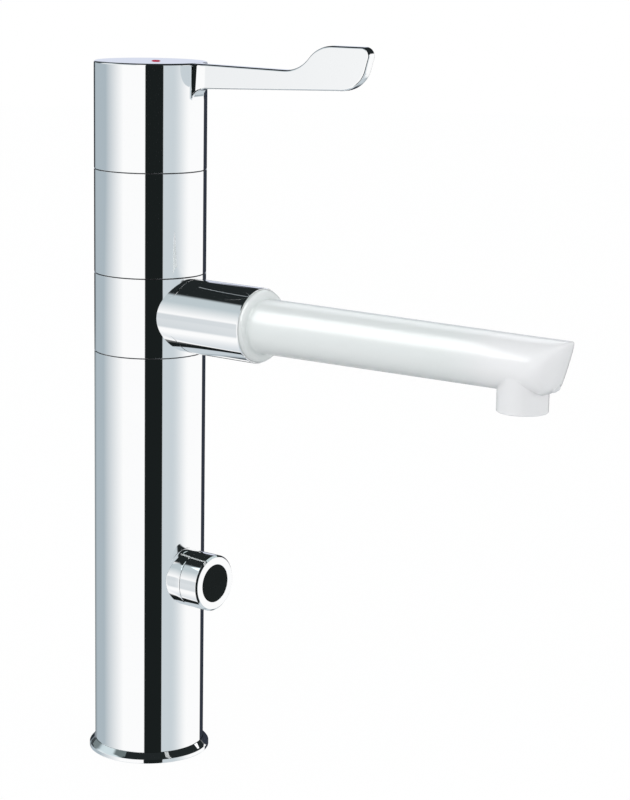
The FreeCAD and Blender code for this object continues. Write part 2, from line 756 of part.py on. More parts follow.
def lower_column(mm, at):
    shell = tube("lower_tube", mm.column_dia, at.tube_bore, mm.lower_length, z=mm.lip_height)
    holes = [screw_hole(mm, at, height, "lower_screw_hole") for height in at.screw_heights[:3]]
    shank = mm.shank_dia + 2 * mm.small_play
    holes.append(rod("sensor_hole", shank, mm.column_dia / 2, z=mm.sensor_height, rotation=TO_FRONT))
    node(cut("lower_column", shell, *holes), "lower_column")


def upper_column(mm, at):
    shell = tube("upper_tube", mm.column_dia, at.tube_bore, mm.upper_length, z=at.upper_foot)
    hole = screw_hole(mm, at, at.screw_heights[3], "upper_screw_hole")
    node(cut("upper_column", shell, hole), "upper_column")


def glide_rings(mm, at):
    outside = mm.column_dia - 2 * mm.seam_inset
    height = mm.seam_gap - mm.glide_play
    inside = at.tube_bore + mm.block_fit
    node(tube("lower_glide_ring", outside, inside, height, z=at.lower_top), "lower_glide_ring")
    node(tube("upper_glide_ring", outside, mm.journal_dia + 2 * mm.journal_gap, height,
              z=at.upper_foot - height), "upper_glide_ring")
    node(tube("cap_glide_ring", outside, inside, height, z=at.upper_top), "cap_glide_ring")


# Sensor, measured outwards from the column's axis


def sensor_sleeve(mm, at):
    front = at.sensor_seam - mm.sensor_groove / 2
    barrel = rod("sensor_barrel", mm.sensor_dia, front - at.shank_inner, y=-at.shank_inner,
                 z=mm.sensor_height, rotation=TO_FRONT)
    column = rod("sensor_saddle", mm.column_dia + 2 * mm.thread_fit, 2 * mm.sensor_dia,
                 z=mm.sensor_height - mm.sensor_dia)
    saddled = cut("sensor_saddled", barrel, column)
    shank = rod("sensor_shank", mm.shank_dia, front - mm.register_depth - at.shank_inner, y=-at.shank_inner,
                z=mm.sensor_height, rotation=TO_FRONT)
    bore = rod("sleeve_bore", mm.sensor_bore, front - at.shank_inner, y=-at.shank_inner,
               z=mm.sensor_height, rotation=TO_FRONT)
    register = rod("sleeve_register", mm.sensor_register, mm.register_depth, y=mm.register_depth - front,
                   z=mm.sensor_height, rotation=TO_FRONT)
    node(cut("sensor_sleeve", fuse("sleeve_blank", saddled, shank), bore, register), "sensor_sleeve")


def sensor_bezel(mm, at):
    back = at.sensor_seam + mm.sensor_groove / 2
    spigot = mm.sensor_register / 2 - mm.thread_fit
    spigot_end = back - mm.register_depth
    barrel, bore = mm.sensor_dia / 2, mm.sensor_bore / 2
    lens = mm.lens_dia / 2 + mm.thread_fit
    lens_seat = at.sensor_reach - mm.lens_inset - mm.lens_depth - mm.thread_fit
    node(lathe("sensor_bezel", [
        (bore, spigot_end), (spigot, spigot_end), (spigot, back), (barrel, back),
        (barrel, at.sensor_reach - mm.sensor_chamfer), (barrel - mm.sensor_chamfer, at.sensor_reach),
        (lens, at.sensor_reach), (lens, lens_seat), (bore, lens_seat),
    ], TO_FRONT, z=mm.sensor_height), "sensor_bezel")


def sensor_inside(mm, at):
    def outward(name, dia, length, start, x=0):
        return rod(name, dia, length, x, -start, mm.sensor_height, TO_FRONT)

    lens_back = at.sensor_reach - mm.lens_inset - mm.lens_depth
    board = lens_back - mm.board_thick - mm.diode_length - mm.diode_length / 4
    node(outward("sensor_lens", mm.lens_dia, mm.lens_depth, lens_back), "sensor_lens")
    node(outward("sensor_board", mm.sensor_bore - 2 * mm.thread_fit, mm.board_thick, board), "sensor_board")
    diodes = [
        outward("infrared_diode", mm.diode_dia, mm.diode_length, board + mm.board_thick, x)
        for x in (-mm.diode_x, mm.diode_x)
    ]
    node(group("infrared_diodes", *diodes), "infrared_diodes")
    lead_start = module_front(mm, at)
    node(outward("sensor_lead", mm.lead_dia, board - lead_start, lead_start), "sensor_lead")
    corner = mm.sensor_nut_dia / 2
    nut_front = root(at.tube_bore / 2 * (at.tube_bore / 2) - corner * corner) - mm.thread_fit
    nut = hexagon("sensor_nut_blank", mm.sensor_nut_dia, mm.sensor_nut_height,
                  y=mm.sensor_nut_height - nut_front, z=mm.sensor_height, rotation=TO_FRONT)
    thread = outward("sensor_nut_thread", mm.shank_dia + 2 * mm.thread_fit, mm.sensor_nut_height,
                     nut_front - mm.sensor_nut_height)
    node(cut("sensor_nut", nut, thread), "sensor_nut")


# Supply and control


def bracket_back(mm):
    """The bracket's back face, just before the risers."""
    return mm.way_y - mm.riser_dia / 2 - mm.battery_gap


def bracket_front(mm):
    return bracket_back(mm) - mm.bracket_thick


def module_front(mm, at):
    """The control module's front, as a distance before the column's axis."""
    return mm.module_depth - bracket_front(mm)


def shelf_height(mm, at):
    return at.manifold_top + mm.bracket_thick + mm.battery_length + mm.battery_gap


def electronics_bracket(mm, at):
    half, thick, front = at.bracket_width / 2, mm.bracket_thick, bracket_front(mm)
    shelf = shelf_height(mm, at)
    depth = mm.battery_dia + mm.battery_gap
    top = shelf + thick + mm.module_height
    wall = plate("bracket_wall", at.bracket_width, thick, top - at.manifold_top,
                 -half, front, at.manifold_top)
    floor = plate("bracket_floor", at.bracket_width, depth, thick, -half, front - depth, at.manifold_top)
    deck = plate("bracket_shelf", at.bracket_width, depth, thick, -half, front - depth, shelf)
    tongue_width = 2 * (mm.way_x - mm.riser_dia / 2 - mm.battery_gap)
    tongue = plate("bracket_tongue", tongue_width, mm.way_y + mm.screw_head_dia / 2 - front, thick,
                   -tongue_width / 2, front, at.manifold_top)
    hole = rod("tongue_hole", mm.bracket_screw_dia + 2 * mm.small_play, thick, y=mm.way_y, z=at.manifold_top)
    blank = fuse("bracket_blank", wall, floor, deck, tongue)
    node(cut("electronics_bracket", blank, hole), "electronics_bracket")


def screw_up(mm, name, x, y, z, turn_over):
    """A cap screw whose head rests at the given point, its shank above or below."""
    below = FreeCAD.Rotation(FreeCAD.Vector(1, 0, 0), 180)
    shank = rod(name + "_shank", mm.bracket_screw_dia, mm.bracket_screw_length, x, y, z,
                UPRIGHT if turn_over else below)
    head_foot = z - mm.screw_head_height if turn_over else z
    head = rod(name + "_head", mm.screw_head_dia, mm.screw_head_height, x, y, head_foot)
    return fuse(name, shank, head)


def electronics(mm, at):
    floor = at.manifold_top + mm.bracket_thick
    node(screw_up(mm, "bracket_screw", 0, mm.way_y, floor, False), "bracket_screw")
    middle = bracket_front(mm) - mm.battery_gap - mm.battery_dia / 2
    apart = mm.battery_dia / 2 + mm.battery_gap / 2
    cells = [
        rod("battery_cell", mm.battery_dia, mm.battery_length, x, middle, at.manifold_top + mm.bracket_thick)
        for x in (-apart, apart)
    ]
    node(group("batteries", *cells), "batteries")
    node(plate("control_module", mm.module_width, mm.module_depth, mm.module_height, -mm.module_width / 2,
               -module_front(mm, at), shelf_height(mm, at) + mm.bracket_thick), "control_module")
    module_top = shelf_height(mm, at) + mm.bracket_thick + mm.module_height
    node(rod("solenoid_lead", mm.lead_dia, at.coil_foot - module_top, -(mm.coil_dia / 2 - mm.lead_dia / 2),
             -(at.solenoid_y - mm.lead_dia), module_top), "solenoid_lead")


# Solenoid valve under the swivel core


def solenoid_body(mm, at):
    y = -at.solenoid_y
    block = rod("solenoid_block", mm.solenoid_dia, mm.solenoid_height, 0, y, at.valve_foot)
    ear_half = mm.ear_x + mm.screw_head_dia / 2
    ears = plate("solenoid_ears", 2 * ear_half, mm.ear_width, mm.ear_height, -ear_half, y - mm.ear_width / 2,
                 at.core_foot - mm.ear_height)
    seat_dia = mm.outlet_way_dia + 2 * mm.seat_width
    cavity = tube("diaphragm_room", at.cavity_dia, seat_dia, mm.cavity_depth, 0, y, at.valve_foot)
    below_seat = rod("below_seat", seat_dia, mm.cavity_depth - mm.seat_rise, 0, y, at.valve_foot)
    outlet = rod("solenoid_outlet", mm.outlet_way_dia, mm.solenoid_height, 0, y, at.valve_foot)
    inlet = rod("solenoid_inlet", mm.pilot_inlet_dia, at.core_foot - at.cavity_top,
                at.mixed[0], y, at.cavity_top)
    holes = [
        rod("ear_hole", mm.bracket_screw_dia + 2 * mm.small_play, mm.ear_height, x, y,
            at.core_foot - mm.ear_height)
        for x in (-mm.ear_x, mm.ear_x)
    ]
    blank = fuse("solenoid_blank", block, ears)
    node(cut("solenoid_body", blank, cavity, below_seat, outlet, inlet, *holes), "solenoid_body")


def solenoid_screws(mm, at):
    screws = [
        screw_up(mm, f"solenoid_screw_{side}", x, -at.solenoid_y, at.core_foot - mm.ear_height, True)
        for side, x in (("hot", -mm.ear_x), ("cold", mm.ear_x))
    ]
    node(group("solenoid_screws", *screws), "solenoid_screws")


def diaphragm(mm, at):
    web_top = at.valve_seat - mm.small_play
    web_foot = web_top - mm.web_thick
    outside = at.cavity_dia / 2 - mm.small_play
    bead = outside - mm.bead_width
    bead_foot = at.valve_foot + mm.flange_thick + mm.thread_fit
    bead_top = at.cavity_top - mm.thread_fit
    node(lathe("diaphragm", [
        (0, web_foot), (bead, web_foot), (bead, bead_foot), (outside, bead_foot),
        (outside, bead_top), (bead, bead_top), (bead, web_top), (0, web_top),
    ], y=-at.solenoid_y), "diaphragm")


def armature_floor(mm, at):
    return at.coil_foot


def armature_tube(mm, at):
    flange = at.cavity_dia / 2 - mm.small_play
    outside, inside = mm.armature_dia / 2, mm.armature_bore / 2
    foot = at.coil_foot - mm.coil_nut_height
    flange_top = at.valve_foot + mm.flange_thick
    floor = armature_floor(mm, at)
    node(lathe("armature_tube", [
        (0, foot), (outside, foot), (outside, at.valve_foot), (flange, at.valve_foot),
        (flange, flange_top), (inside, flange_top), (inside, floor), (0, floor),
    ], y=-at.solenoid_y), "armature_tube")


def solenoid_plunger(mm, at):
    tip_top = at.valve_seat - mm.web_thick - 2 * mm.small_play
    shoulder = tip_top - mm.plunger_tip
    foot = armature_floor(mm, at) + mm.plunger_floor
    outside, pocket, tip = mm.armature_bore / 2 - mm.small_play, mm.pocket_dia / 2, mm.plunger_tip_dia / 2
    node(lathe("solenoid_plunger", [
        (pocket, foot), (outside, foot), (outside, shoulder), (tip, shoulder), (tip, tip_top), (0, tip_top),
        (0, foot + mm.pocket_depth), (pocket, foot + mm.pocket_depth),
    ], y=-at.solenoid_y), "solenoid_plunger")


def plunger_spring(mm, at):
    low = armature_floor(mm, at) + mm.small_play
    high = armature_floor(mm, at) + mm.plunger_floor + mm.pocket_depth - mm.small_play
    node(spring("plunger_spring", mm.plunger_coil_dia, mm.check_wire, mm.spring_turns, 0, -at.solenoid_y,
                low, high), "plunger_spring")


def solenoid_coil(mm, at):
    bore = mm.armature_dia + 2 * mm.thread_fit
    coil = tube("solenoid_coil", mm.coil_dia, bore, mm.coil_length, 0, -at.solenoid_y, at.coil_foot)
    node(coil, "solenoid_coil")
    foot = at.coil_foot - mm.coil_nut_height
    nut = hexagon("coil_nut_blank", mm.coil_nut_dia, mm.coil_nut_height, 0, -at.solenoid_y, foot)
    thread = rod("coil_nut_thread", bore, mm.coil_nut_height, 0, -at.solenoid_y, foot)
    node(cut("coil_nut", nut, thread), "coil_nut")


def solenoid_valve(mm, at):
    for make in (solenoid_body, solenoid_screws, diaphragm, armature_tube, solenoid_plunger,
                 plunger_spring, solenoid_coil):
        make(mm, at)


# Swivel core and collar


def swivel_core(mm, at):
    plug, journal, spigot = at.block_dia / 2, mm.journal_dia / 2, mm.spigot_dia / 2
    bed = journal - at.seal_bed
    half = mm.seal_groove / 2
    water = journal - mm.water_groove_depth
    low, high = at.spout_axis - mm.seal_pitch, at.spout_axis + mm.seal_pitch
    water_low = at.spout_axis - mm.water_groove_width / 2
    water_high = at.spout_axis + mm.water_groove_width / 2
    blank = lathe("swivel_core_turned", [
        (0, at.core_foot), (plug, at.core_foot), (plug, at.core_shoulder), (journal, at.core_shoulder),
        (journal, low - half), (bed, low - half), (bed, low + half), (journal, low + half),
        (journal, water_low), (water, water_low), (water, water_high), (journal, water_high),
        (journal, high - half), (bed, high - half), (bed, high + half), (journal, high + half),
        (journal, at.upper_foot), (spigot, at.upper_foot), (spigot, at.seat), (0, at.seat),
    ])
    height = at.seat - at.core_foot
    holes = []
    for side, (x, y) in zip(("hot", "cold"), at.ways):
        holes += [
            rod(side + "_core_seat", mm.riser_dia + 2 * mm.thread_fit, mm.riser_seat, x, y, at.core_foot),
            rod(side + "_core_way", mm.riser_bore, height, x, y, at.core_foot),
        ]
    outlet_height = at.spout_axis + mm.outlet_way_dia / 2 - at.core_foot
    pin_length = mm.stop_pin_depth + mm.stop_pin_rise
    holes += [
        rod("mixed_way", mm.mixed_dia, height, at.mixed[0], at.mixed[1], at.core_foot),
        rod("outlet_way", mm.outlet_way_dia, outlet_height, 0, -at.solenoid_y, at.core_foot),
        rod("outlet_port", mm.outlet_way_dia, mm.journal_dia / 2 - at.solenoid_y, 0, -at.solenoid_y,
            at.spout_axis, TO_FRONT),
        screw_hole(mm, at, at.screw_heights[2], "core_screw_hole"),
        rod("stop_pin_hole", mm.stop_pin_dia + 2 * mm.thread_fit, pin_length, 0, at.stop_pin_radius,
            at.core_shoulder - mm.stop_pin_depth),
    ]
    screw_room = mm.bracket_screw_length - mm.ear_height
    for x in (-mm.ear_x, mm.ear_x):
        holes.append(rod("core_ear_hole", mm.bracket_screw_dia + 2 * mm.thread_fit,
                         screw_room + mm.small_play, x, -at.solenoid_y, at.core_foot))
    node(cut("swivel_core", blank, *holes), "swivel_core")


def swivel_details(mm, at):
    middle = mm.journal_dia - mm.seal_cord - 2 * mm.seal_room
    seals = [
        o_ring("swivel_seal", middle, mm.seal_cord, z=at.spout_axis + offset)
        for offset in (-mm.seal_pitch, mm.seal_pitch)
    ]
    node(group("swivel_seals", *seals), "swivel_seals")
    inside = mm.journal_dia + 2 * mm.bush_gap
    bushes = [
        tube(f"swivel_bush_{place_name}", inside + 2 * mm.bush_wall, inside, mm.bush_height, z=foot)
        for place_name, foot in zip(("low", "high"), bush_feet(mm, at))
    ]
    node(group("swivel_bushes", *bushes), "swivel_bushes")
    pin = rod("swivel_stop_pin", mm.stop_pin_dia, mm.stop_pin_depth + mm.stop_pin_rise, 0, at.stop_pin_radius,
              at.core_shoulder - mm.stop_pin_depth)
    node(pin, "swivel_stop_pin")


def bush_feet(mm, at):
    return [at.collar_foot + mm.bush_low, at.collar_top - mm.bush_high - mm.bush_height]


def stop_slot(mm, at):
    """The arc that the stop pin runs in, open to the collar's foot and bore."""
    outside = at.stop_pin_radius + mm.stop_pin_dia / 2 + mm.stop_room
    slot = rod("stop_slot", 2 * outside, mm.stop_pin_rise + mm.stop_room, z=at.collar_foot)
    pin_share = (mm.stop_pin_dia / 2 + mm.stop_room) / at.stop_pin_radius * (180 / math.pi)
    half = mm.swivel_sweep + pin_share
    bind(slot, "Angle", 2 * half)
    slot.Placement.Rotation = FreeCAD.Rotation(FreeCAD.Vector(0, 0, 1), 90 - half.value)
    return slot


def swivel_collar(mm, at):
    z = at.spout_axis
    ring = rod("collar_ring", mm.column_dia, mm.collar_height, z=at.collar_foot)
    arm = rod("collar_socket", mm.socket_dia, mm.socket_reach, z=z, rotation=TO_FRONT)
    bore_dia = mm.journal_dia + 2 * mm.journal_gap
    bush_dia = mm.journal_dia + 2 * (mm.bush_gap + mm.bush_wall + mm.thread_fit)
    plug_bore = mm.plug_dia + 2 * mm.plug_fit
    mouth = mm.socket_reach - mm.shoulder_depth
    clip = mm.plug_start + mm.clip_place
    tools = [
        rod("collar_bore", bore_dia, mm.collar_height, z=at.collar_foot),
        stop_slot(mm, at),
        rod("collar_water_way", mm.water_bore, mm.plug_start, z=z, rotation=TO_FRONT),
        rod("collar_plug_bore", plug_bore, mm.socket_reach - mm.plug_start + mm.plug_fit,
            y=mm.plug_fit - mm.plug_start, z=z, rotation=TO_FRONT),
        rod("collar_mouth", mm.shoulder_dia + 2 * mm.plug_fit, mm.shoulder_depth,
            y=-mouth, z=z, rotation=TO_FRONT),
        rod("clip_relief", plug_bore + 2 * mm.clip_relief, mm.clip_cord + 2 * mm.clip_relief,
            y=mm.clip_relief + mm.clip_cord / 2 - clip, z=z, rotation=TO_FRONT),
    ]
    tools += [
        rod("bush_pocket", bush_dia, mm.bush_height + mm.thread_fit, z=foot) for foot in bush_feet(mm, at)
    ]
    node(cut("swivel_collar", fuse("collar_blank", ring, arm), *tools), "swivel_collar")


# Spout, measured outwards from the column's axis


def groove(points, radius, bed, middle, half):
    """Adds a square groove to a turned outline."""
    points += [(radius, middle - half), (bed, middle - half), (bed, middle + half), (radius, middle + half)]


def spout_blank(mm, at):
    plug, bed = mm.plug_dia / 2, mm.plug_dia / 2 - at.seal_bed
    shoulder_back = mm.socket_reach - mm.shoulder_depth + mm.plug_fit
    cove = mm.socket_reach - mm.shoulder_cove
    beyond = at.tip_reach + mm.tube_tip_dia / 2
    points = [(0, mm.plug_start), (plug, mm.plug_start)]
    for start in (mm.plug_seal_first, mm.plug_seal_second):
        groove(points, plug, bed, mm.plug_start + start, mm.seal_groove / 2)
    clip_bed = plug - mm.clip_cord - mm.thread_fit
    groove(points, plug, clip_bed, mm.plug_start + mm.clip_place, mm.clip_cord / 2 + mm.small_play)
    points += [
        (plug, shoulder_back), (mm.shoulder_dia / 2, shoulder_back), (mm.shoulder_dia / 2, mm.socket_reach),
        (mm.shoulder_land / 2, mm.socket_reach), (mm.tube_root_dia / 2, cove),
        (mm.tube_tip_dia / 2, beyond), (0, beyond),
    ]
    return lathe("spout_turned", points, TO_FRONT, z=at.spout_axis)


def tip_form(mm, at):
    """All that lies behind the slanted, rounded end: a leaning cylinder and the room behind it."""
    radius, lean = mm.tube_tip_dia / 2, mm.tip_slant
    axis = at.tip_reach - radius * sine(lean) / cosine(lean) - radius / cosine(lean)
    rotation = FreeCAD.Rotation(FreeCAD.Vector(1, 0, 0), lean.value)
    height = 2 * at.tip_reach
    down = height / 2 * cosine(lean)
    back = height / 2 * sine(lean)
    pillar = rod("tip_pillar", mm.tube_tip_dia, height, 0, back - axis, at.spout_axis - down, rotation)
    room = DOC.addObject("Part::Box", "tip_room")
    turn(room, rotation)
    bind(room, "Length", 2 * mm.shoulder_dia)
    bind(room, "Width", 2 * at.tip_reach)
    bind(room, "Height", height)
    place(room, -mm.shoulder_dia, back - axis, at.spout_axis - down)
    return fuse("tip_form", pillar, room)


def spout(mm, at):
    z = at.spout_axis
    body = common("spout_tipped", spout_blank(mm, at), tip_form(mm, at))
    nozzle = rod("spout_nozzle", mm.nozzle_dia, mm.nozzle_drop, 0, -mm.spout_reach, z - mm.nozzle_drop)
    along = rod("spout_bore", mm.spout_bore, mm.spout_reach - mm.plug_start, y=-mm.plug_start, z=z,
                rotation=TO_FRONT)
    down = rod("outlet_bore", mm.spout_bore, mm.nozzle_drop, 0, -mm.spout_reach, z - mm.nozzle_drop)
    elbow = DOC.addObject("Part::Sphere", "outlet_elbow")
    bind(elbow, "Radius", mm.spout_bore / 2)
    place(elbow, 0, -mm.spout_reach, z)
    node(cut("spout", fuse("spout_whole", body, nozzle), along, down, elbow), "spout")


def spout_details(mm, at):
    z = at.spout_axis
    middle = mm.plug_dia - mm.seal_cord - 2 * mm.seal_room
    seals = [
        o_ring("plug_seal", middle, mm.seal_cord, -(mm.plug_start + start), z, TO_FRONT)
        for start in (mm.plug_seal_first, mm.plug_seal_second)
    ]
    node(group("spout_seals", *seals), "spout_seals")
    node(o_ring("spout_clip", mm.plug_dia - mm.clip_cord, mm.clip_cord, -(mm.plug_start + mm.clip_place), z,
                TO_FRONT), "spout_clip")
    foot = z - mm.nozzle_drop + mm.straightener_inset
    outside = mm.spout_bore - 2 * mm.small_play
    ring = tube("straightener_ring", outside, outside - 2 * mm.straightener_wall, mm.straightener_height,
                0, -mm.spout_reach, foot)
    vanes = []
    for step in range(3):
        vane = plate(f"straightener_vane_{step}", outside - mm.straightener_wall, mm.straightener_wall,
                     mm.straightener_height, 0, -mm.spout_reach, foot)
        spin = FreeCAD.Rotation(FreeCAD.Vector(0, 0, 1), 60 * step)
        vane.Placement.Rotation = spin
        half = (outside - mm.straightener_wall) / 2
        cos, sin = math.cos(math.radians(60 * step)), math.sin(math.radians(60 * step))
        place(vane, -half * cos + mm.straightener_wall / 2 * sin,
              -mm.spout_reach - half * sin - mm.straightener_wall / 2 * cos, foot)
        vanes.append(vane)
    node(fuse("flow_straightener", ring, *vanes), "flow_straightener")


# Mixing cartridge


def cartridge_housing(mm, at):
    hole = mm.spigot_dia / 2 + mm.thread_fit
    room = at.cartridge_dia / 2 + mm.small_play
    top = at.upper_top - mm.housing_drop
    outside = at.block_dia / 2
    blank = lathe("housing_turned", [
        (hole, at.upper_foot), (outside, at.upper_foot), (outside, top), (room, top), (room, at.seat),
        (hole, at.seat),
    ])
    node(cut("cartridge_housing", blank, screw_hole(mm, at, at.screw_heights[3], "housing_screw_hole")),
         "cartridge_housing")


def port_places(at):
    return at.ways + [at.mixed]


def cartridge_base(mm, at):
    disc = rod("cartridge_base_disc", at.cartridge_dia, mm.cartridge_base_height, z=at.seat)
    holes = []
    for x, y in port_places(at):
        holes.append(rod("base_port", mm.port_dia, mm.cartridge_base_height, x, y, at.seat))
        holes.append(rod("base_seal_bed", mm.port_seal_dia + 2 * mm.thread_fit, mm.port_seal_height,
                         x, y, at.seat))
    node(cut("cartridge_base", disc, *holes), "cartridge_base")
    seals = [
        tube(f"port_seal_{i}", mm.port_seal_dia, mm.port_seal_bore, mm.port_seal_height, x, y, at.seat)
        for i, (x, y) in enumerate(port_places(at))
    ]
    node(group("cartridge_seals", *seals), "cartridge_seals")


def ceramic_discs(mm, at):
    fixed = rod("fixed_disc_blank", at.disc_dia, mm.disc_height, z=at.disc_foot)
    ports = [rod("disc_port", mm.port_dia, mm.disc_height, x, y, at.disc_foot) for x, y in port_places(at)]
    node(cut("fixed_disc", fixed, *ports), "fixed_disc")
    moving = rod("moving_disc_blank", at.disc_dia - 2 * mm.small_play, mm.disc_height, z=at.moving_foot)
    off_middle = root(mm.mixed_x * mm.mixed_x + at.solenoid_y * at.solenoid_y)
    reach = 2 * off_middle + mm.port_dia
    recess = tube("mixing_recess", reach, reach - 2 * mm.port_dia, mm.recess_depth, z=at.moving_foot)
    node(cut("moving_disc", moving, recess), "moving_disc")


def cartridge_spindle(mm, at):
    driver = rod("spindle_driver", at.driver_dia, mm.driver_height, z=at.driver_foot)
    shaft = rod("spindle_shaft", mm.spindle_dia, at.spindle_top - at.driver_foot, z=at.driver_foot)
    node(fuse("cartridge_spindle", driver, shaft), "cartridge_spindle")


def cartridge_body(mm, at):
    outside, neck = at.cartridge_dia / 2, mm.neck_dia / 2
    room = at.disc_dia / 2 + mm.small_play
    bore = mm.spindle_dia / 2 + mm.small_play
    room_top = at.driver_foot + mm.driver_height + mm.small_play
    node(lathe("cartridge_body", [
        (room, at.disc_foot), (outside, at.disc_foot), (outside, at.neck_foot), (neck, at.neck_foot),
        (neck, at.neck_top), (bore, at.neck_top), (bore, room_top), (room, room_top),
    ]), "cartridge_body")
    node(tube("cartridge_nut", at.cartridge_dia, mm.neck_dia + 2 * mm.small_play, mm.cartridge_nut_height,
              z=at.neck_foot), "cartridge_nut")


def spline_adaptor(mm, at):
    node(tube("spline_adaptor", at.adaptor_dia, mm.spindle_dia + 2 * mm.thread_fit, mm.adaptor_length,
              z=at.boss_foot), "spline_adaptor")


def cartridge(mm, at):
    for make in (cartridge_housing, cartridge_base, ceramic_discs, cartridge_spindle, cartridge_body,
                 spline_adaptor):
        make(mm, at)


# Cap and lever, drawn with the lever along +X and turned to its rest angle


def cap_shell(mm, at):
    outside, boss = mm.column_dia / 2, mm.boss_dia / 2
    inside = outside - mm.cap_wall
    bore = at.adaptor_dia / 2 + mm.thread_fit
    ceiling = at.cap_top - mm.cap_top
    bore_top = at.spindle_top + mm.small_play
    body = lathe("cap_shell", [
        (inside, at.cap_foot), (outside, at.cap_foot), (outside, at.cap_top), (0, at.cap_top), (0, bore_top),
        (bore, bore_top), (bore, at.boss_foot), (boss, at.boss_foot), (boss, ceiling), (inside, ceiling),
    ])
    return soften(body, "cap_rounded", mm.cap_edge, circle_at(outside, at.cap_top))


def lever_side(mm, at):
    """The blade's side view, wider than the blade."""
    top, skin = at.cap_top, mm.column_dia / 2
    inner = skin - mm.cap_wall / 3
    crest = top + mm.paddle_rise
    neck = top - mm.neck_fall
    rise = crest - neck
    bend = (mm.rise_length * mm.rise_length + rise * rise) / (4 * rise)
    bottom = top - mm.lever_depth
    neck_reach = mm.lever_reach - mm.paddle_length
    points = [
        (inner, bottom - mm.lever_under), (skin, bottom - mm.lever_under), (skin + mm.lever_under, bottom),
        (mm.lever_reach - mm.heel_length, top - mm.paddle_drop),
        (mm.lever_reach - mm.end_lean, top - mm.end_drop),
        (mm.lever_reach, crest - mm.corner_drop), (mm.lever_reach - mm.corner_length, crest),
        (neck_reach + mm.rise_length, crest), (neck_reach + mm.rise_length / 2, crest - rise / 2),
        (neck_reach, neck), (inner, top - mm.cap_edge),
    ]
    arcs = {
        1: (mm.lever_under, False),
        3: (mm.heel_round, True),
        5: (mm.corner_round, True),
        7: (bend, True),
        8: (bend, False),
    }
    width = mm.lever_thick + 4 * mm.lever_flare
    return padded("lever_side", "XZ_Plane", width, points, arcs)


def lever_plan(mm, at):
    """The blade's plan: even thickness with a fillet on each side of the root."""
    half, skin, flare = mm.lever_thick / 2, mm.column_dia / 2, mm.lever_flare
    off = half + flare
    along = root((skin + flare) * (skin + flare) - off * off)
    share = skin / (skin + flare)
    touch_x, touch_y = along * share, off * share
    beyond = mm.lever_reach + flare
    points = [
        (touch_x, -touch_y), (along, -half), (beyond, -half), (beyond, half), (along, half),
        (touch_x, touch_y),
    ]
    arcs = {0: (flare, False), 4: (flare, False)}
    body = padded("lever_plan", "XY_Plane", 4 * mm.cap_height, points, arcs)
    place(body, z=at.cap_top)
    return body


def lever_cap(mm, at):
    blade = common("lever_blade", lever_side(mm, at), lever_plan(mm, at))
    whole = fuse("cap_and_lever", cap_shell(mm, at), blade)
    dot_bed = rod("index_bed", mm.index_dia + 2 * mm.thread_fit, mm.index_depth, mm.index_offset, 0,
                  at.cap_top - mm.index_depth)
    to_back = FreeCAD.Rotation(FreeCAD.Vector(0, 1, 0), -90)
    screw_height = at.boss_foot + mm.lever_screw_rise
    thread = rod("lever_screw_thread", mm.lever_screw_dia + 2 * mm.thread_fit, mm.column_dia / 2,
                 z=screw_height, rotation=to_back)
    item = cut("lever_cap", whole, dot_bed, thread)
    item.Placement = FreeCAD.Placement(
        FreeCAD.Vector(), FreeCAD.Rotation(FreeCAD.Vector(0, 0, 1), mm.lever_angle.value - 90)
    )
    bind(item, "Placement.Rotation.Angle", mm.lever_angle - 90)
    node(item, "lever_cap")


def lever_details(mm, at):
    node(rod("index_dot", mm.index_dia, mm.index_depth + mm.index_proud, mm.index_offset * at.lever_x,
             mm.index_offset * at.lever_y, at.cap_top - mm.index_depth), "index_dot")
    start = at.adaptor_dia / 2 + mm.thread_fit
    back = FreeCAD.Rotation(FreeCAD.Vector(0, 0, 1), mm.lever_angle.value).multiply(TO_BACK)
    node(rod("lever_screw", mm.lever_screw_dia, mm.lever_screw_length, -(start * at.lever_x),
             -(start * at.lever_y), at.boss_foot + mm.lever_screw_rise, back), "lever_screw")


# Whole tap


def check_and_write():
    DOC.recompute()
    bad = [o.Name for o in DOC.Objects if set(o.State) & {"Invalid", "Error"}]
    bad += [o.Label for o in NODES if o.Shape.isNull() or not o.Shape.isValid() or not o.Shape.Solids]
    if bad:
        raise RuntimeError("not sound: " + ", ".join(bad))
    os.makedirs("parts", exist_ok=True)
    for item in NODES:
        item.Shape.exportStep(f"parts/{item.Label}.step")
    print(len(NODES), "sub-parts written")


def main():
    mm = make_sheet()
    at = work_out(mm)
    for make in (base_ring, base_gasket, inlet_manifold, set_screws, inlets, lower_column, upper_column,
                 glide_rings, sensor_sleeve, sensor_bezel, sensor_inside, electronics_bracket, electronics,
                 solenoid_valve, swivel_core, swivel_details, swivel_collar, spout, spout_details, cartridge,
                 lever_cap, lever_details):
        make(mm, at)
    check_and_write()


main()
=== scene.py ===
"""Looks of the sensor mixer tap, on the frame of its CAD model: pieces, finishes and studio."""

import json
import math

import bmesh
import bpy
from bpy.props import FloatProperty, FloatVectorProperty, PointerProperty
from mathutils import Matrix, Vector


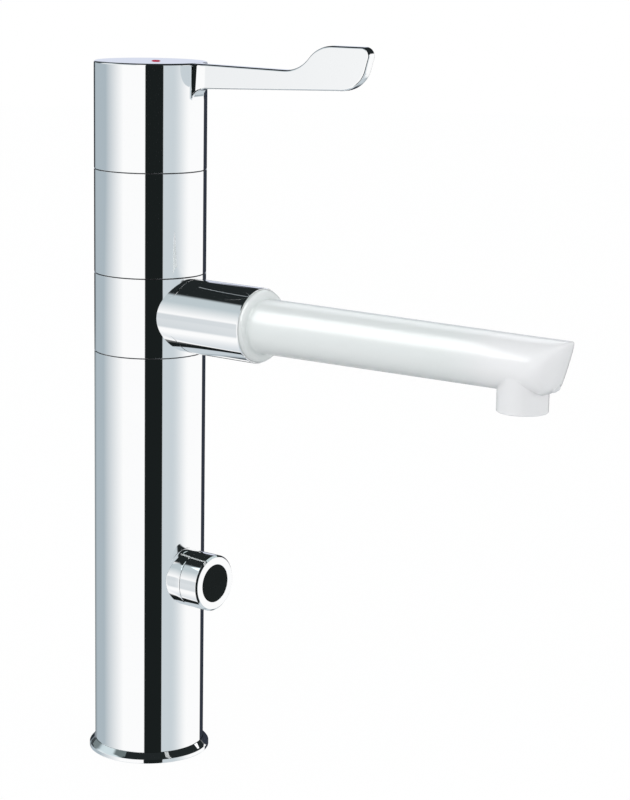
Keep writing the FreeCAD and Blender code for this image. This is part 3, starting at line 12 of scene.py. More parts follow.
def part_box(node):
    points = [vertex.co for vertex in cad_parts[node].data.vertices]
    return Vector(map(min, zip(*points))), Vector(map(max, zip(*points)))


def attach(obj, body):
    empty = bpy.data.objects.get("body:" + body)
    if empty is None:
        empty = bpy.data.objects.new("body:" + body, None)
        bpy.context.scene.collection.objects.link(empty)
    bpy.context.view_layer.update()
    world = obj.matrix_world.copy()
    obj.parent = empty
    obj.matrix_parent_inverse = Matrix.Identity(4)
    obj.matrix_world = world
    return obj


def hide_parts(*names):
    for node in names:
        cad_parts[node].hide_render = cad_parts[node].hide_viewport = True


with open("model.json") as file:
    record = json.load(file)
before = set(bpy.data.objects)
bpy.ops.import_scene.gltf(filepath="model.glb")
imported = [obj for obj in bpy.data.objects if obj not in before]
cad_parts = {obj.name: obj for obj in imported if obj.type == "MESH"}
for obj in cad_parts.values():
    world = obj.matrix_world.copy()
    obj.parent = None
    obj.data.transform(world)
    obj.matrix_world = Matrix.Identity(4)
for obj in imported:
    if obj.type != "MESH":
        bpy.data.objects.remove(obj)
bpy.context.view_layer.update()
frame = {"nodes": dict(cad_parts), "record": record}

bl_info = {
    "name": "Sensor Mixer Tap",
    "version": (1, 0, 0),
    "blender": (4, 5, 0),
    "location": "3D View > Sidebar > Tap",
    "description": "Models the visible pieces of a sensor mixer tap and sets up its studio",
    "category": "Object",
}

MM = 0.001
TO_FRONT = Matrix.Rotation(math.radians(90), 4, "X")
TO_BACK = Matrix.Rotation(math.radians(-90), 4, "X")
TO_CAP_BACK = Matrix.Rotation(math.radians(-90), 4, "Y")
LOWER_SCREWS = (9.0 * MM, 21.0 * MM, 168.8 * MM)
UPPER_SCREWS = (244.6 * MM,)
CAP_SCREW = 282.0 * MM
FINE_STEPS = 384


def low(node, axis):
    """Lowest place of a CAD node on an axis, to a hundredth of a millimetre."""
    return round(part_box(node)[0]["xyz".index(axis)], 5)


def high(node, axis):
    """Highest place of a CAD node on an axis, to a hundredth of a millimetre."""
    return round(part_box(node)[1]["xyz".index(axis)], 5)


def at_height(height, turn):
    """A place on the column's axis, turned to one side."""
    return Matrix.Translation((0, 0, height)) @ turn


def length(name, description, default):
    return FloatProperty(name=name, description=description, default=default, min=0.0, precision=5,
                         unit="LENGTH", subtype="DISTANCE")


def angle(name, description, degrees):
    return FloatProperty(name=name, description=description, default=math.radians(degrees), precision=4,
                         unit="ROTATION", subtype="ANGLE")


def share(name, description, default):
    return FloatProperty(name=name, description=description, default=default, min=0.0, max=1.0,
                         subtype="FACTOR")


def colour(name, description, default):
    return FloatVectorProperty(name=name, description=description, default=default, size=3, min=0.0, max=1.0,
                               subtype="COLOR")


class TapSizes(bpy.types.PropertyGroup):
    """Sizes of the visible pieces."""

    column_radius: length("Column", "Outside radius of the column", high("lower_column", "x"))
    column_wall: length("Column wall", "Wall of the column's tubes", 2.5 * MM)
    tube_edge: length("Tube edge", "Rounding where two tubes meet", 0.12 * MM)
    foot_radius: length("Foot ring", "Outside radius of the foot ring", high("base_ring", "x"))
    foot_side: length("Foot side", "Upright side of the foot ring", 1.8 * MM)
    screw_radius: length("Set screw", "Radius of the set screws", 2.0 * MM)
    sensor_height: length("Sensor height", "Sensor's axis above the deck", 85.0 * MM)
    sensor_radius: length("Sensor", "Outside radius of the sensor's barrel", high("sensor_bezel", "x"))
    sensor_chamfer: length("Bezel chamfer", "Front edge of the sensor's bezel", 0.8 * MM)
    spout_height: length("Spout height", "Spout's axis above the deck", 205.2 * MM)
    socket_radius: length("Socket", "Outside radius of the spout's socket", 16.5 * MM)
    socket_rim: length("Socket rim", "Chamfer of the socket's front edge", 0.3 * MM)
    tube_root: length("Spout root", "Spout tube's radius at its shoulder", 12.0 * MM)
    tube_tip: length("Spout tip", "Spout tube's radius at its tip", 11.4 * MM)
    tube_rise: length("Spout rise", "Rise of the spout's tube from its shoulder to its tip", 0.65 * MM)
    tip_lean: angle("Tip lean", "Lean of the spout's end", 17.0)
    tip_round: length("Tip rounding", "Rounding at the top of the spout's end", 1.4 * MM)
    chin_round: length("Chin rounding", "Rounding at the foot of the spout's end", 6.0 * MM)
    cove: length("Shoulder cove", "Hollow between the spout's shoulder and its tube", 0.9 * MM)
    outlet_reach: length("Outlet reach", "Outlet's axis before the column's axis", 200.0 * MM)
    outlet_radius: length("Outlet", "Outside radius of the outlet", 10.5 * MM)
    cap_round: length("Cap rounding", "Rounding of the cap's upper edge", 0.9 * MM)
    lever_turn: angle("Lever direction", "Lever's direction, from the front towards the right", 8.3)
    lever_thick: length("Lever thickness", "Thickness of the lever's blade", 5.5 * MM)
    lever_root: length("Lever root", "Fillet between the cap and the lever", 8.0 * MM)
    lever_edge: length("Lever edge", "Rounding of the lever's edges", 1.0 * MM)


class TapFinishes(bpy.types.PropertyGroup):
    """Colours and gloss of the pieces."""

    chrome: colour("Chrome", "Polished chrome plate", (0.965, 0.97, 0.975))
    chrome_haze: share("Chrome haze", "Roughness of the polished chrome", 0.025)
    spout_white: colour("Spout white", "Natural white acetal of the spout", (0.85, 0.885, 0.875))
    # Painted light: the spout's end gets a lighter, bluer white that stands in for light falling on it and
    # shining through it; it is the same plastic as the rest of the spout.
    spout_tip_painted_light: colour("Spout tip", "Clearer white of the spout's thin end", (0.98, 0.98, 0.998))
    spout_satin: share("Spout satin", "Roughness of the spout", 0.22)
    window_black: colour("Window black", "Infrared window", (0.006, 0.0095, 0.0095))
    index_red: colour("Index red", "Index dot on the cap", (0.62, 0.012, 0.07))
    glide_black: colour("Glide black", "Glide rings and bushes", (0.035, 0.036, 0.04))
    rubber_black: colour("Rubber black", "Seals, gasket and leads", (0.022, 0.022, 0.022))
    brass: colour("Brass", "Turned brass", (0.71, 0.53, 0.25))
    copper: colour("Copper", "Drawn copper tube", (0.72, 0.40, 0.26))
    steel: colour("Steel", "Bright stainless steel", (0.60, 0.60, 0.61))
    moulded_grey: colour("Moulded grey", "Grey mouldings", (0.33, 0.34, 0.35))
    ceramic: colour("Ceramic", "Lapped alumina discs", (0.86, 0.85, 0.80))
    board_green: colour("Board green", "Lacquered circuit board", (0.03, 0.17, 0.07))
    cell_blue: colour("Cell blue", "Plain sleeve of the batteries", (0.17, 0.21, 0.31))


class Studio(bpy.types.PropertyGroup):
    """Camera and light."""

    camera_place: FloatVectorProperty(name="Camera place", description="Camera in the tap's frame", size=3,
                                      default=(-0.747335, -0.682130, 0.370294), precision=5, unit="LENGTH",
                                      subtype="TRANSLATION")
    camera_turn: FloatVectorProperty(name="Camera turn", description="Camera's rotation", size=3,
                                     default=[math.radians(a) for a in (78.4884, -0.9574, -51.6530)],
                                     precision=4, unit="ROTATION", subtype="EULER")
    focal_length: FloatProperty(name="Focal length", description="Lens on a 36 mm high sensor",
                                default=102.32, min=1.0, unit="CAMERA")
    card_white: colour("White cards", "White cards round the tap", (1.0, 1.0, 1.0))
    card_grey: colour("Grey card", "Cool grey card on the left", (0.41, 0.48, 0.525))
    card_black: colour("Black flag", "Black flag round the camera", (0.010, 0.013, 0.013))
    key_power: FloatProperty(name="Key light", description="Soft light from the upper left", default=1.2,
                             min=0.0, unit="POWER", subtype="POWER")
    strip_power: FloatProperty(name="Strip light", description="Long light for the white spout alone",
                               default=0.4, min=0.0, unit="POWER", subtype="POWER")


class Value:
    """A shader socket whose arithmetic adds Math nodes."""

    def __init__(self, graph, socket):
        self.graph, self.socket = graph, socket

    def maths(self, operation, *values):
        return self.graph.node("ShaderNodeMath", {"operation": operation}, dict(enumerate(values)))

    def __add__(self, other):
        return self.maths("ADD", self, other)

    __radd__ = __add__

    def __sub__(self, other):
        return self.maths("SUBTRACT", self, other)

    def __rsub__(self, other):
        return self.maths("SUBTRACT", other, self)

    def __mul__(self, other):
        return self.maths("MULTIPLY", self, other)

    __rmul__ = __mul__

    def __abs__(self):
        return self.maths("ABSOLUTE", self)


class Graph:
    """The nodes of one material or world."""

    def __init__(self, owner):
        owner.use_nodes = True
        self.tree = owner.node_tree
        self.tree.nodes.clear()

    def node(self, kind, settings=None, sockets=None, out=0):
        """Adds a node: its settings first, then its sockets' values or links; gives back one output."""
        node = self.tree.nodes.new(kind)
        for name, setting in (settings or {}).items():
            setattr(node, name, setting)
        for name, value in (sockets or {}).items():
            if isinstance(value, Value):
                self.tree.links.new(value.socket, node.inputs[name])
            elif hasattr(value, "__len__") and len(value) == 3 and node.inputs[name].type == "RGBA":
                node.inputs[name].default_value = (*value, 1.0)
            else:
                node.inputs[name].default_value = value
        return Value(self, node.outputs[out]) if len(node.outputs) else None

    def spot(self):
        return self.node("ShaderNodeTexCoord", out="Object")

    def noise(self, scale, detail=2.0, stretch=(1.0, 1.0, 1.0)):
        """Noise of so many grains a metre on Object coordinates."""
        vector = self.node("ShaderNodeMapping", None, {"Vector": self.spot(), "Scale": stretch})
        return self.node("ShaderNodeTexNoise", None, {"Vector": vector, "Scale": scale, "Detail": detail},
                         "Fac")

    def between(self, value, start, end, curve="SMOOTHSTEP"):
        """0 up to start, 1 from end on, and a smooth way between."""
        return self.node("ShaderNodeMapRange", {"interpolation_type": curve},
                         {"Value": value, "From Min": start, "From Max": end})

    def rise(self, value, start, end):
        """0 up to start, 1 from end on, and a straight way between."""
        return self.between(value, start, end, "LINEAR")

    def window(self, value, start, end, soft):
        """1 between start and end, with a smooth edge of a width at both."""
        half = soft / 2
        begun = self.between(value, start - half, start + half)
        return begun * (1.0 - self.between(value, end - half, end + half))

    def parts(self, vector):
        """The three numbers of a vector."""
        node = self.node("ShaderNodeSeparateXYZ", None, {"Vector": vector}).socket.node
        return [Value(self, socket) for socket in node.outputs]

    def rays(self, *kinds):
        """For each kind of ray, 1 where the ray is one of that kind."""
        node = self.node("ShaderNodeLightPath").socket.node
        return [Value(self, node.outputs[kind]) for kind in kinds]

    def mix(self, factor, first, second):
        """The first colour where factor is 0 and the second where it is 1."""
        return self.node("ShaderNodeMix", {"data_type": "RGBA"}, {0: factor, 6: first, 7: second}, 2)

    def bump(self, height, depth):
        """A normal from a height of 0 to 1 that stands for so many metres."""
        return self.node("ShaderNodeBump", None, {"Height": height, "Strength": 1.0, "Distance": depth})


def surface(graph, **sockets):
    """Ends a material with a Principled shader; socket names take _ for a space."""
    shader = graph.node("ShaderNodeBsdfPrincipled", None,
                        {name.replace("_", " "): value for name, value in sockets.items()})
    graph.node("ShaderNodeOutputMaterial", None, {"Surface": shader})


def tinted(graph, tone, spread, factor):
    """A colour that wanders a little to both sides of its tone."""
    darker = tuple(c * (1.0 - spread) for c in tone)
    lighter = tuple(min(1.0, c * (1.0 + spread)) for c in tone)
    return graph.mix(factor, darker, lighter)


def polished_chrome(graph, finishes):
    haze = graph.noise(70.0, 3.0)
    wipe = graph.noise(420.0, 2.0, (1.0, 1.0, 0.15))
    surface(graph, Base_Color=tinted(graph, finishes.chrome, 0.006, haze), Metallic=1.0,
            Roughness=finishes.chrome_haze * (0.7 + 0.4 * haze + 0.3 * wipe),
            Normal=graph.bump(graph.noise(45.0, 1.0), 0.000004))


def spout_acetal(graph, finishes):
    cloud = graph.noise(38.0, 3.0, (1.0, 0.35, 1.0))
    grain = graph.noise(2600.0, 2.0)
    # Painted light: towards the end, the colour blends into the lighter tip white, which stands in for light
    # on and through the thin end.
    thin = 1.0 - graph.between(graph.parts(graph.spot())[1], -0.205, -0.165)
    tone = graph.mix(thin, tinted(graph, finishes.spout_white, 0.012, cloud),
                     tinted(graph, finishes.spout_tip_painted_light, 0.012, cloud))
    surface(graph, Base_Color=tone, Roughness=finishes.spout_satin * (0.85 + 0.15 * cloud + 0.2 * grain),
            IOR=1.48, Subsurface_Weight=0.6, Subsurface_Radius=(1.0, 1.0, 1.0), Subsurface_Scale=0.004,
            Normal=graph.bump(grain, 0.000006))


def infrared_window(graph, finishes):
    haze = graph.noise(260.0, 3.0)
    speck = graph.noise(5200.0, 1.0)
    surface(graph, Base_Color=tinted(graph, finishes.window_black, 0.15, haze), Roughness=0.12 + 0.1 * haze,
            Specular_IOR_Level=0.04, Normal=graph.bump(speck, 0.000001))


def index_enamel(graph, finishes):
    flow = graph.noise(900.0, 2.0)
    surface(graph, Base_Color=tinted(graph, finishes.index_red, 0.08, flow), Roughness=0.3 + 0.1 * flow,
            Specular_IOR_Level=0.05, Normal=graph.bump(flow, 0.00001))


def moulding(graph, finishes, tone, roughness, grain_size):
    """A satin moulding with a fine spark-eroded grain."""
    grain = graph.noise(grain_size, 2.0)
    flow = graph.noise(60.0, 3.0)
    surface(graph, Base_Color=tinted(graph, getattr(finishes, tone), 0.05, flow),
            Roughness=roughness * (0.8 + 0.4 * grain), Normal=graph.bump(grain, 0.00002))


def turned_metal(graph, finishes, tone, roughness, pitch):
    """A metal with fine turning lines across its axis."""
    lines = graph.noise(pitch, 1.0, (0.02, 0.02, 1.0))
    tarnish = graph.noise(120.0, 4.0)
    surface(graph, Base_Color=tinted(graph, getattr(finishes, tone), 0.08, tarnish), Metallic=1.0,
            Roughness=roughness * (0.7 + 0.35 * lines + 0.25 * tarnish), Normal=graph.bump(lines, 0.000004))


def lacquered_board(graph, finishes):
    green = finishes.board_green
    weave = graph.node("ShaderNodeTexBrick", {"offset": 0.5}, {
        "Vector": graph.spot(), "Scale": 900.0, "Color1": green, "Color2": tuple(c * 0.8 for c in green),
        "Mortar": tuple(min(1.0, c * 1.5) for c in green), "Mortar Size": 0.03})
    grain = graph.noise(2400.0, 2.0)
    surface(graph, Base_Color=weave, Roughness=0.3 + 0.15 * grain, Coat_Weight=0.3,
            Normal=graph.bump(grain, 0.00001))


def cell_sleeve(graph, finishes):
    crease = graph.noise(700.0, 2.0, (1.0, 1.0, 0.2))
    tone = graph.noise(90.0, 3.0)
    surface(graph, Base_Color=tinted(graph, finishes.cell_blue, 0.1, tone), Roughness=0.28 + 0.2 * crease,
            Coat_Weight=0.2, Normal=graph.bump(crease, 0.00002))


# For each slot: the material's name, its maker, and the maker's own values.
FINISHES = {
    "chrome": ("polished_chrome", polished_chrome),
    "white_plastic": ("spout_acetal", spout_acetal),
    "black_window": ("infrared_window", infrared_window),
    "red_index": ("index_enamel", index_enamel),
    "brass": ("turned_brass", turned_metal, "brass", 0.3, 9000.0),
    "copper": ("drawn_copper", turned_metal, "copper", 0.28, 1500.0),
    "steel": ("bright_steel", turned_metal, "steel", 0.24, 12000.0),
    "rubber": ("seal_rubber", moulding, "rubber_black", 0.62, 3200.0),
    "glide_plastic": ("glide_acetal", moulding, "glide_black", 0.42, 1800.0),
    "grey_plastic": ("grey_moulding", moulding, "moulded_grey", 0.5, 1800.0),
    "ceramic": ("lapped_ceramic", moulding, "ceramic", 0.18, 5200.0),
    "circuit": ("lacquered_board", lacquered_board),
    "battery": ("cell_sleeve", cell_sleeve),
}


def finish(context, slot):
    """The material of a slot, made the first time it is asked for."""
    name, maker, *values = FINISHES[slot]
    if name not in bpy.data.materials:
        maker(Graph(bpy.data.materials.new(name)), context.scene.tap_finishes, *values)
    return bpy.data.materials[name]


def round_corner(bm, corner, radius):
    """Rounds one corner of an outline to a radius."""
    ways = [edge.other_vert(corner).co - corner.co for edge in corner.link_edges]
    offset = radius / math.tan(ways[0].angle(ways[1]) / 2)
    bmesh.ops.bevel(bm, geom=[corner], offset=offset, offset_type="OFFSET", segments=6, profile=0.5,
                    affect="VERTICES", material=-1)


def outline(points, rounds=None, closed=True):
    """A bmesh with an outline in the XZ plane; rounds gives the radius at a corner's number."""
    bm = bmesh.new()
    corners = [bm.verts.new((x, 0.0, z)) for x, z in points]
    for start, end in zip(corners, corners[1:] + corners[:1] if closed else corners[1:]):
        bm.edges.new((start, end))
    for number, radius in (rounds or {}).items():
        round_corner(bm, corners[number], radius)
    return bm


def turned(points, rounds=None, closed=True, steps=256, place=None):
    """A solid turned about Z from (radius, height) points, then put in its place."""
    bm = outline(points, rounds, closed)
    bmesh.ops.spin(bm, geom=bm.verts[:] + bm.edges[:], cent=(0, 0, 0), axis=(0, 0, 1), angle=math.tau,
                   steps=steps, use_merge=True)
    bmesh.ops.remove_doubles(bm, verts=bm.verts[:], dist=1e-7)
    bmesh.ops.recalc_face_normals(bm, faces=bm.faces[:])
    if place:
        bmesh.ops.transform(bm, matrix=place, verts=bm.verts[:])
    return bm


def rod(radius, start, end, place=None, steps=96):
    """A plain rod along Z, to cut or join with."""
    return turned([(0.0, start), (radius, start), (radius, end), (0.0, end)], closed=False, steps=steps,
                  place=place)


def scratch(bm):
    """A passing object of a bmesh, which is used up."""
    mesh = bpy.data.meshes.new("scratch")
    bm.to_mesh(mesh)
    bm.free()
    item = bpy.data.objects.new("scratch", mesh)
    bpy.context.scene.collection.objects.link(item)
    return item


def clear(item):
    """Removes a passing object and its mesh."""
    mesh = item.data
    bpy.data.objects.remove(item)
    bpy.data.meshes.remove(mesh)


def changed(bm, kind, **settings):
    """The bmesh after one modifier; the bmesh itself is used up."""
    work = scratch(bm)
    modifier = work.modifiers.new("change", kind)
    for name, value in settings.items():
        setattr(modifier, name, value)
    result = bmesh.new()
    result.from_object(work, bpy.context.evaluated_depsgraph_get())
    clear(work)
    if not result.faces:
        raise RuntimeError("a modifier left nothing")
    return result


def carved(bm, tool, operation="DIFFERENCE"):
    """The bmesh cut by, or joined with, another; both are used up."""
    cutter = scratch(tool)
    result = changed(bm, "BOOLEAN", operation=operation, solver="MANIFOLD", object=cutter)
    clear(cutter)
    return result


def make_piece(context, name, bm, body, slot, *nodes, crease=28):
    """Turns a bmesh into a finished piece that rides on a body and stands for CAD nodes."""
    mesh = bpy.data.meshes.new(name)
    bm.to_mesh(mesh)
    bm.free()
    mesh.shade_smooth()
    mesh.set_sharp_from_angle(angle=math.radians(crease))
    mesh.materials.append(finish(context, slot))
    item = bpy.data.objects.new(name, mesh)
    item.modifiers.new("even_shading", "WEIGHTED_NORMAL").keep_sharp = True
    context.scene.collection.objects.link(item)
    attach(item, body)
    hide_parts(*nodes)


def tube(radius, wall, foot, top, edge, stations=()):
    """A tube with softened outer edges, and extra rings at the stations."""
    inner = radius - wall
    points = [(inner, foot), (radius, foot), *((radius, height) for height in stations), (radius, top),
              (inner, top)]
    return turned(points, {1: edge, len(points) - 2: edge}, steps=FINE_STEPS)


class TAP_OT_foot_ring(bpy.types.Operator):
    """Model the rounded ring that the column stands on"""

    bl_idname = "tap.foot_ring"
    bl_label = "Foot Ring"

    def execute(self, context):
        sizes = context.scene.tap_sizes
        lip, lip_top = 23.0 * MM, 2.0 * MM
        hole, hole_edge = sizes.column_radius + 0.1 * MM, 0.15 * MM
        outside, side = sizes.foot_radius, sizes.foot_side
        facet_in, facet_up = 0.55 * MM, 0.65 * MM
        top = high("base_ring", "z") - 0.4 * MM
        inner, outer, groove = 24.05 * MM, high("base_gasket", "x"), high("base_gasket", "z")
        ring = turned([
            (lip, 0.0), (inner, 0.0), (inner, groove), (outer, groove), (outer, 0.0), (outside, 0.0),
            (outside, side), (outside - facet_in, side + facet_up), (hole + hole_edge, top), (hole, top),
            (hole, lip_top), (lip, lip_top),
        ], {5: 0.25 * MM, 6: 0.35 * MM, 7: 0.6 * MM}, steps=FINE_STEPS)
        make_piece(context, "foot_ring", ring, "column", "chrome", "base_ring")
        return {"FINISHED"}


class TAP_OT_column_tubes(bpy.types.Operator):
    """Model the column's two tubes with their screw holes and the sensor's hole"""

    bl_idname = "tap.column_tubes"
    bl_label = "Column Tubes"

    def execute(self, context):
        sizes = context.scene.tap_sizes
        middle, sensor_hole, sensor_rings = sizes.sensor_height, 9.1 * MM, 11.0 * MM
        screw_hole = sizes.screw_radius + 0.05 * MM
        drill_start, drill_end = 15.0 * MM, 30.0 * MM
        lower_rings = (5.0 * MM, 25.0 * MM, middle - sensor_rings, middle + sensor_rings, 164.0 * MM,
                       173.0 * MM)
        upper_rings = (240.0 * MM, 249.0 * MM)
        for node, screws, rings in (
            ("lower_column", LOWER_SCREWS, lower_rings),
            ("upper_column", UPPER_SCREWS, upper_rings),
        ):
            shell = tube(sizes.column_radius, sizes.column_wall, low(node, "z"), high(node, "z"),
                         sizes.tube_edge, rings)
            holes = [(screw_hole, at_height(height, TO_BACK)) for height in screws]
            if node == "lower_column":
                holes.append((sensor_hole, at_height(middle, TO_FRONT)))
            for radius, place in holes:
                shell = carved(shell, rod(radius, drill_start, drill_end, place))
            make_piece(context, node.replace("column", "tube"), shell, "column", "chrome", node)
        return {"FINISHED"}


class TAP_OT_sensor(bpy.types.Operator):
    """Model the sensor's sleeve, bezel and window"""

    bl_idname = "tap.sensor"
    bl_label = "Sensor"

    def execute(self, context):
        sizes = context.scene.tap_sizes
        place = at_height(sizes.sensor_height, TO_FRONT)
        radius, bore, shank, register = sizes.sensor_radius, 7.3 * MM, 9.0 * MM, 11.5 * MM
        front, shank_end = -low("sensor_sleeve", "y"), -high("sensor_sleeve", "y")
        spigot_end, face = -high("sensor_bezel", "y"), -low("sensor_bezel", "y")

        root, station = 18.0 * MM, 26.5 * MM
        edge_long, edge_deep = 0.45 * MM, 0.18 * MM
        barrel = turned([
            (bore, root), (radius, root), (radius, station), (radius, front - edge_long),
            (radius - edge_deep, front), (register, front), (register, spigot_end), (bore, spigot_end),
        ], place=place)
        saddle_half = 25.0 * MM
        saddle = rod(sizes.column_radius + 0.05 * MM, sizes.sensor_height - saddle_half,
                     sizes.sensor_height + saddle_half, steps=FINE_STEPS)
        neck_end = spigot_end - 0.4 * MM
        neck = turned([(bore, shank_end), (shank, shank_end), (shank, neck_end), (bore, neck_end)],
                      {1: 0.5 * MM}, place=place)
        sleeve = carved(carved(barrel, saddle), neck, "UNION")
        make_piece(context, "sensor_barrel", sleeve, "column", "chrome", "sensor_sleeve")

        back, window, seat = 29.7 * MM, 8.6 * MM, 36.55 * MM
        spigot = register - 0.05 * MM
        bezel = turned([
            (bore, spigot_end), (spigot, spigot_end), (spigot, back), (radius, back),
            (radius, face - sizes.sensor_chamfer), (radius - sizes.sensor_chamfer, face), (window, face),
            (window, seat), (bore, seat),
        ], {3: 0.05 * MM, 4: 0.25 * MM, 5: 0.25 * MM, 6: 0.12 * MM}, place=place)
        make_piece(context, "sensor_front", bezel, "column", "chrome", "sensor_bezel")

        glass, rear, rim = -low("sensor_lens", "y"), -high("sensor_lens", "y"), high("sensor_lens", "x")
        lens = turned([(0.0, rear), (rim, rear), (rim, glass), (0.0, glass)], {2: 0.15 * MM}, closed=False,
                      place=place)
        make_piece(context, "sensor_window", lens, "column", "black_window", "sensor_lens")
        return {"FINISHED"}


class TAP_OT_spout_socket(bpy.types.Operator):
    """Model the turning collar with the socket that holds the spout"""

    bl_idname = "tap.spout_socket"
    bl_label = "Spout Socket"

    def execute(self, context):
        sizes = context.scene.tap_sizes
        foot, top, mouth = low("swivel_collar", "z"), high("swivel_collar", "z"), -low("swivel_collar", "y")
        place = at_height(sizes.spout_height, TO_FRONT)
        radius, edge = sizes.column_radius, sizes.tube_edge
        ring = turned([(0.0, foot), (radius, foot), (radius, top), (0.0, top)], {1: edge, 2: edge},
                      closed=False, steps=FINE_STEPS)
        arm_radius, rim = sizes.socket_radius, sizes.socket_rim
        start, ring_skin, half_way = 10.0 * MM, 27.0 * MM, 40.0 * MM
        arm = turned([(0.0, start), (arm_radius, start), (arm_radius, ring_skin), (arm_radius, half_way),
                      (arm_radius, mouth - 2.0 * rim), (arm_radius - 0.7 * rim, mouth), (0.0, mouth)],
                     closed=False, steps=FINE_STEPS, place=place)
        collar = carved(ring, arm, "UNION")
        journal, pocket = 18.15 * MM, 20.0 * MM
        pocket_foot, pocket_top = low("swivel_bushes", "z"), high("swivel_bushes", "z")
        collar = carved(collar, turned([
            (0.0, foot - MM), (journal, foot - MM), (journal, pocket_foot), (pocket, pocket_foot),
            (pocket, pocket_top), (journal, pocket_top), (journal, top + MM), (0.0, top + MM),
        ], closed=False))
        way, plug, plug_end, counterbore = 7.0 * MM, 11.1 * MM, 27.9 * MM, 15.9 * MM
        clip, clip_start, clip_end = plug + 0.6 * MM, 49.0 * MM, 51.0 * MM
        counter_end, lead_in, past = mouth - 4.0 * MM, 0.25 * MM, mouth + 0.1 * MM
        collar = carved(collar, turned([
            (0.0, start), (way, start), (way, plug_end), (plug, plug_end), (plug, clip_start),
            (clip, clip_start), (clip, clip_end), (plug, clip_end), (plug, counter_end),
            (counterbore, counter_end), (counterbore, past - lead_in), (counterbore + lead_in, past),
            (0.0, past),
        ], closed=False, place=place))
        make_piece(context, "spout_socket", collar, "collar", "chrome", "swivel_collar")
        return {"FINISHED"}


class TAP_OT_white_spout(bpy.types.Operator):
    """Model the white plug-in spout with its slanted tip and outlet"""

    bl_idname = "tap.white_spout"
    bl_label = "White Spout"

    def tip_place(self, sizes, reach, turn, bend):
        """A place on the end: turn goes round the tube, bend runs from the tube to the end's middle line."""
        radius, lean = sizes.tube_tip, math.tan(sizes.tip_lean)
        depth = radius * (1.0 - math.sin(bend))
        corner = sizes.tip_round + (sizes.chin_round - sizes.tip_round) * max(0.0, -math.sin(turn)) ** 2
        tall = radius - corner + math.sqrt(corner ** 2 - max(0.0, corner - depth) ** 2)
        up, half = tall * math.sin(turn), tall * math.cos(turn)
        across = half * math.cos(bend) / math.hypot(math.cos(bend), half * math.sin(bend) / radius)
        return across, up, reach + (up - radius) * lean - depth

    def execute(self, context):
        sizes = context.scene.tap_sizes
        start, mouth, reach = -high("spout", "y"), -low("swivel_collar", "y"), 222.0 * MM
        plug, seal_bed, clip_bed, bore = 11.0 * MM, 9.22 * MM, 9.65 * MM, 8.0 * MM
        grooves = []
        for middle, half, bed in ((33.0, 1.15, seal_bed), (38.0, 1.15, seal_bed), (50.0, 0.75, clip_bed)):
            before, after = (middle - half) * MM, (middle + half) * MM
            grooves += [(plug, before), (bed, before), (bed, after), (plug, after)]
        shoulder, shoulder_back, shoulder_front = 15.8 * MM, mouth - 3.9 * MM, mouth + 1.7 * MM
        root, tip = sizes.tube_root, sizes.tube_tip
        way_end, straight_start, straight_end, rings = 185.0 * MM, 70.0 * MM, 198.0 * MM, 28
        points = [
            (0.0, way_end), (bore, way_end), (bore, start), (plug, start), *grooves, (plug, shoulder_back),
            (shoulder, shoulder_back), (shoulder, shoulder_front), (root, shoulder_front),
            (root - 0.02 * MM, straight_start), (tip, straight_end),
        ]
        first = len(points) - 4
        points += [(tip, straight_end + (step + 1) * MM) for step in range(rings + 1)]
        spout = turned(points, {3: 0.5 * MM, first: 1.5 * MM, first + 1: sizes.cove}, closed=False, steps=320)
        lift, lift_start, lift_run = 0.3 * MM, mouth + 2.0 * MM, 5.0 * MM
        for vert in spout.verts:
            x, y, along = vert.co
            step = round((along - straight_end) / MM) - 1
            if step >= 0:
                turn = math.atan2(y, abs(x))
                across, y, along = self.tip_place(sizes, reach, turn, math.radians(90) * step / rings)
                vert.co = (math.copysign(across, x), y, along)
            beyond = along - lift_start
            if beyond > 0.0 and math.hypot(x, y) > bore + MM:
                vert.co.y += lift * min(1.0, beyond / lift_run) + sizes.tube_rise * beyond / (reach - mouth)
        bmesh.ops.remove_doubles(spout, verts=spout.verts[:], dist=1e-6)
        place = at_height(sizes.spout_height, TO_FRONT)
        bmesh.ops.transform(spout, matrix=place, verts=spout.verts[:])
        bmesh.ops.recalc_face_normals(spout, faces=spout.faces[:])

        face, axis, outlet = low("spout", "z"), sizes.spout_height, sizes.outlet_radius
        tube_foot, nozzle_top = axis - 11.4 * MM, axis - 2.0 * MM
        below = Matrix.Translation((0, -sizes.outlet_reach, 0))
        nozzle = turned([(0.0, face), (outlet, face), (outlet, tube_foot), (outlet, nozzle_top),
                         (0.0, nozzle_top)], {1: 0.5 * MM}, closed=False, place=below)
        spout = carved(spout, nozzle, "UNION")
        drill_cone = axis - 6.0 * MM
        spout = carved(spout, turned([
            (0.0, face - MM), (bore + 0.5 * MM, face - 0.05 * MM), (bore, face + 0.45 * MM),
            (bore, drill_cone), (0.0, axis),
        ], closed=False, place=below))
        make_piece(context, "white_spout", spout, "spout", "white_plastic", "spout", crease=75)
        return {"FINISHED"}


def lever_way(sizes):
    """Turns a shape along X to the lever's direction."""
    return Matrix.Rotation(sizes.lever_turn - math.radians(90), 4, "Z")


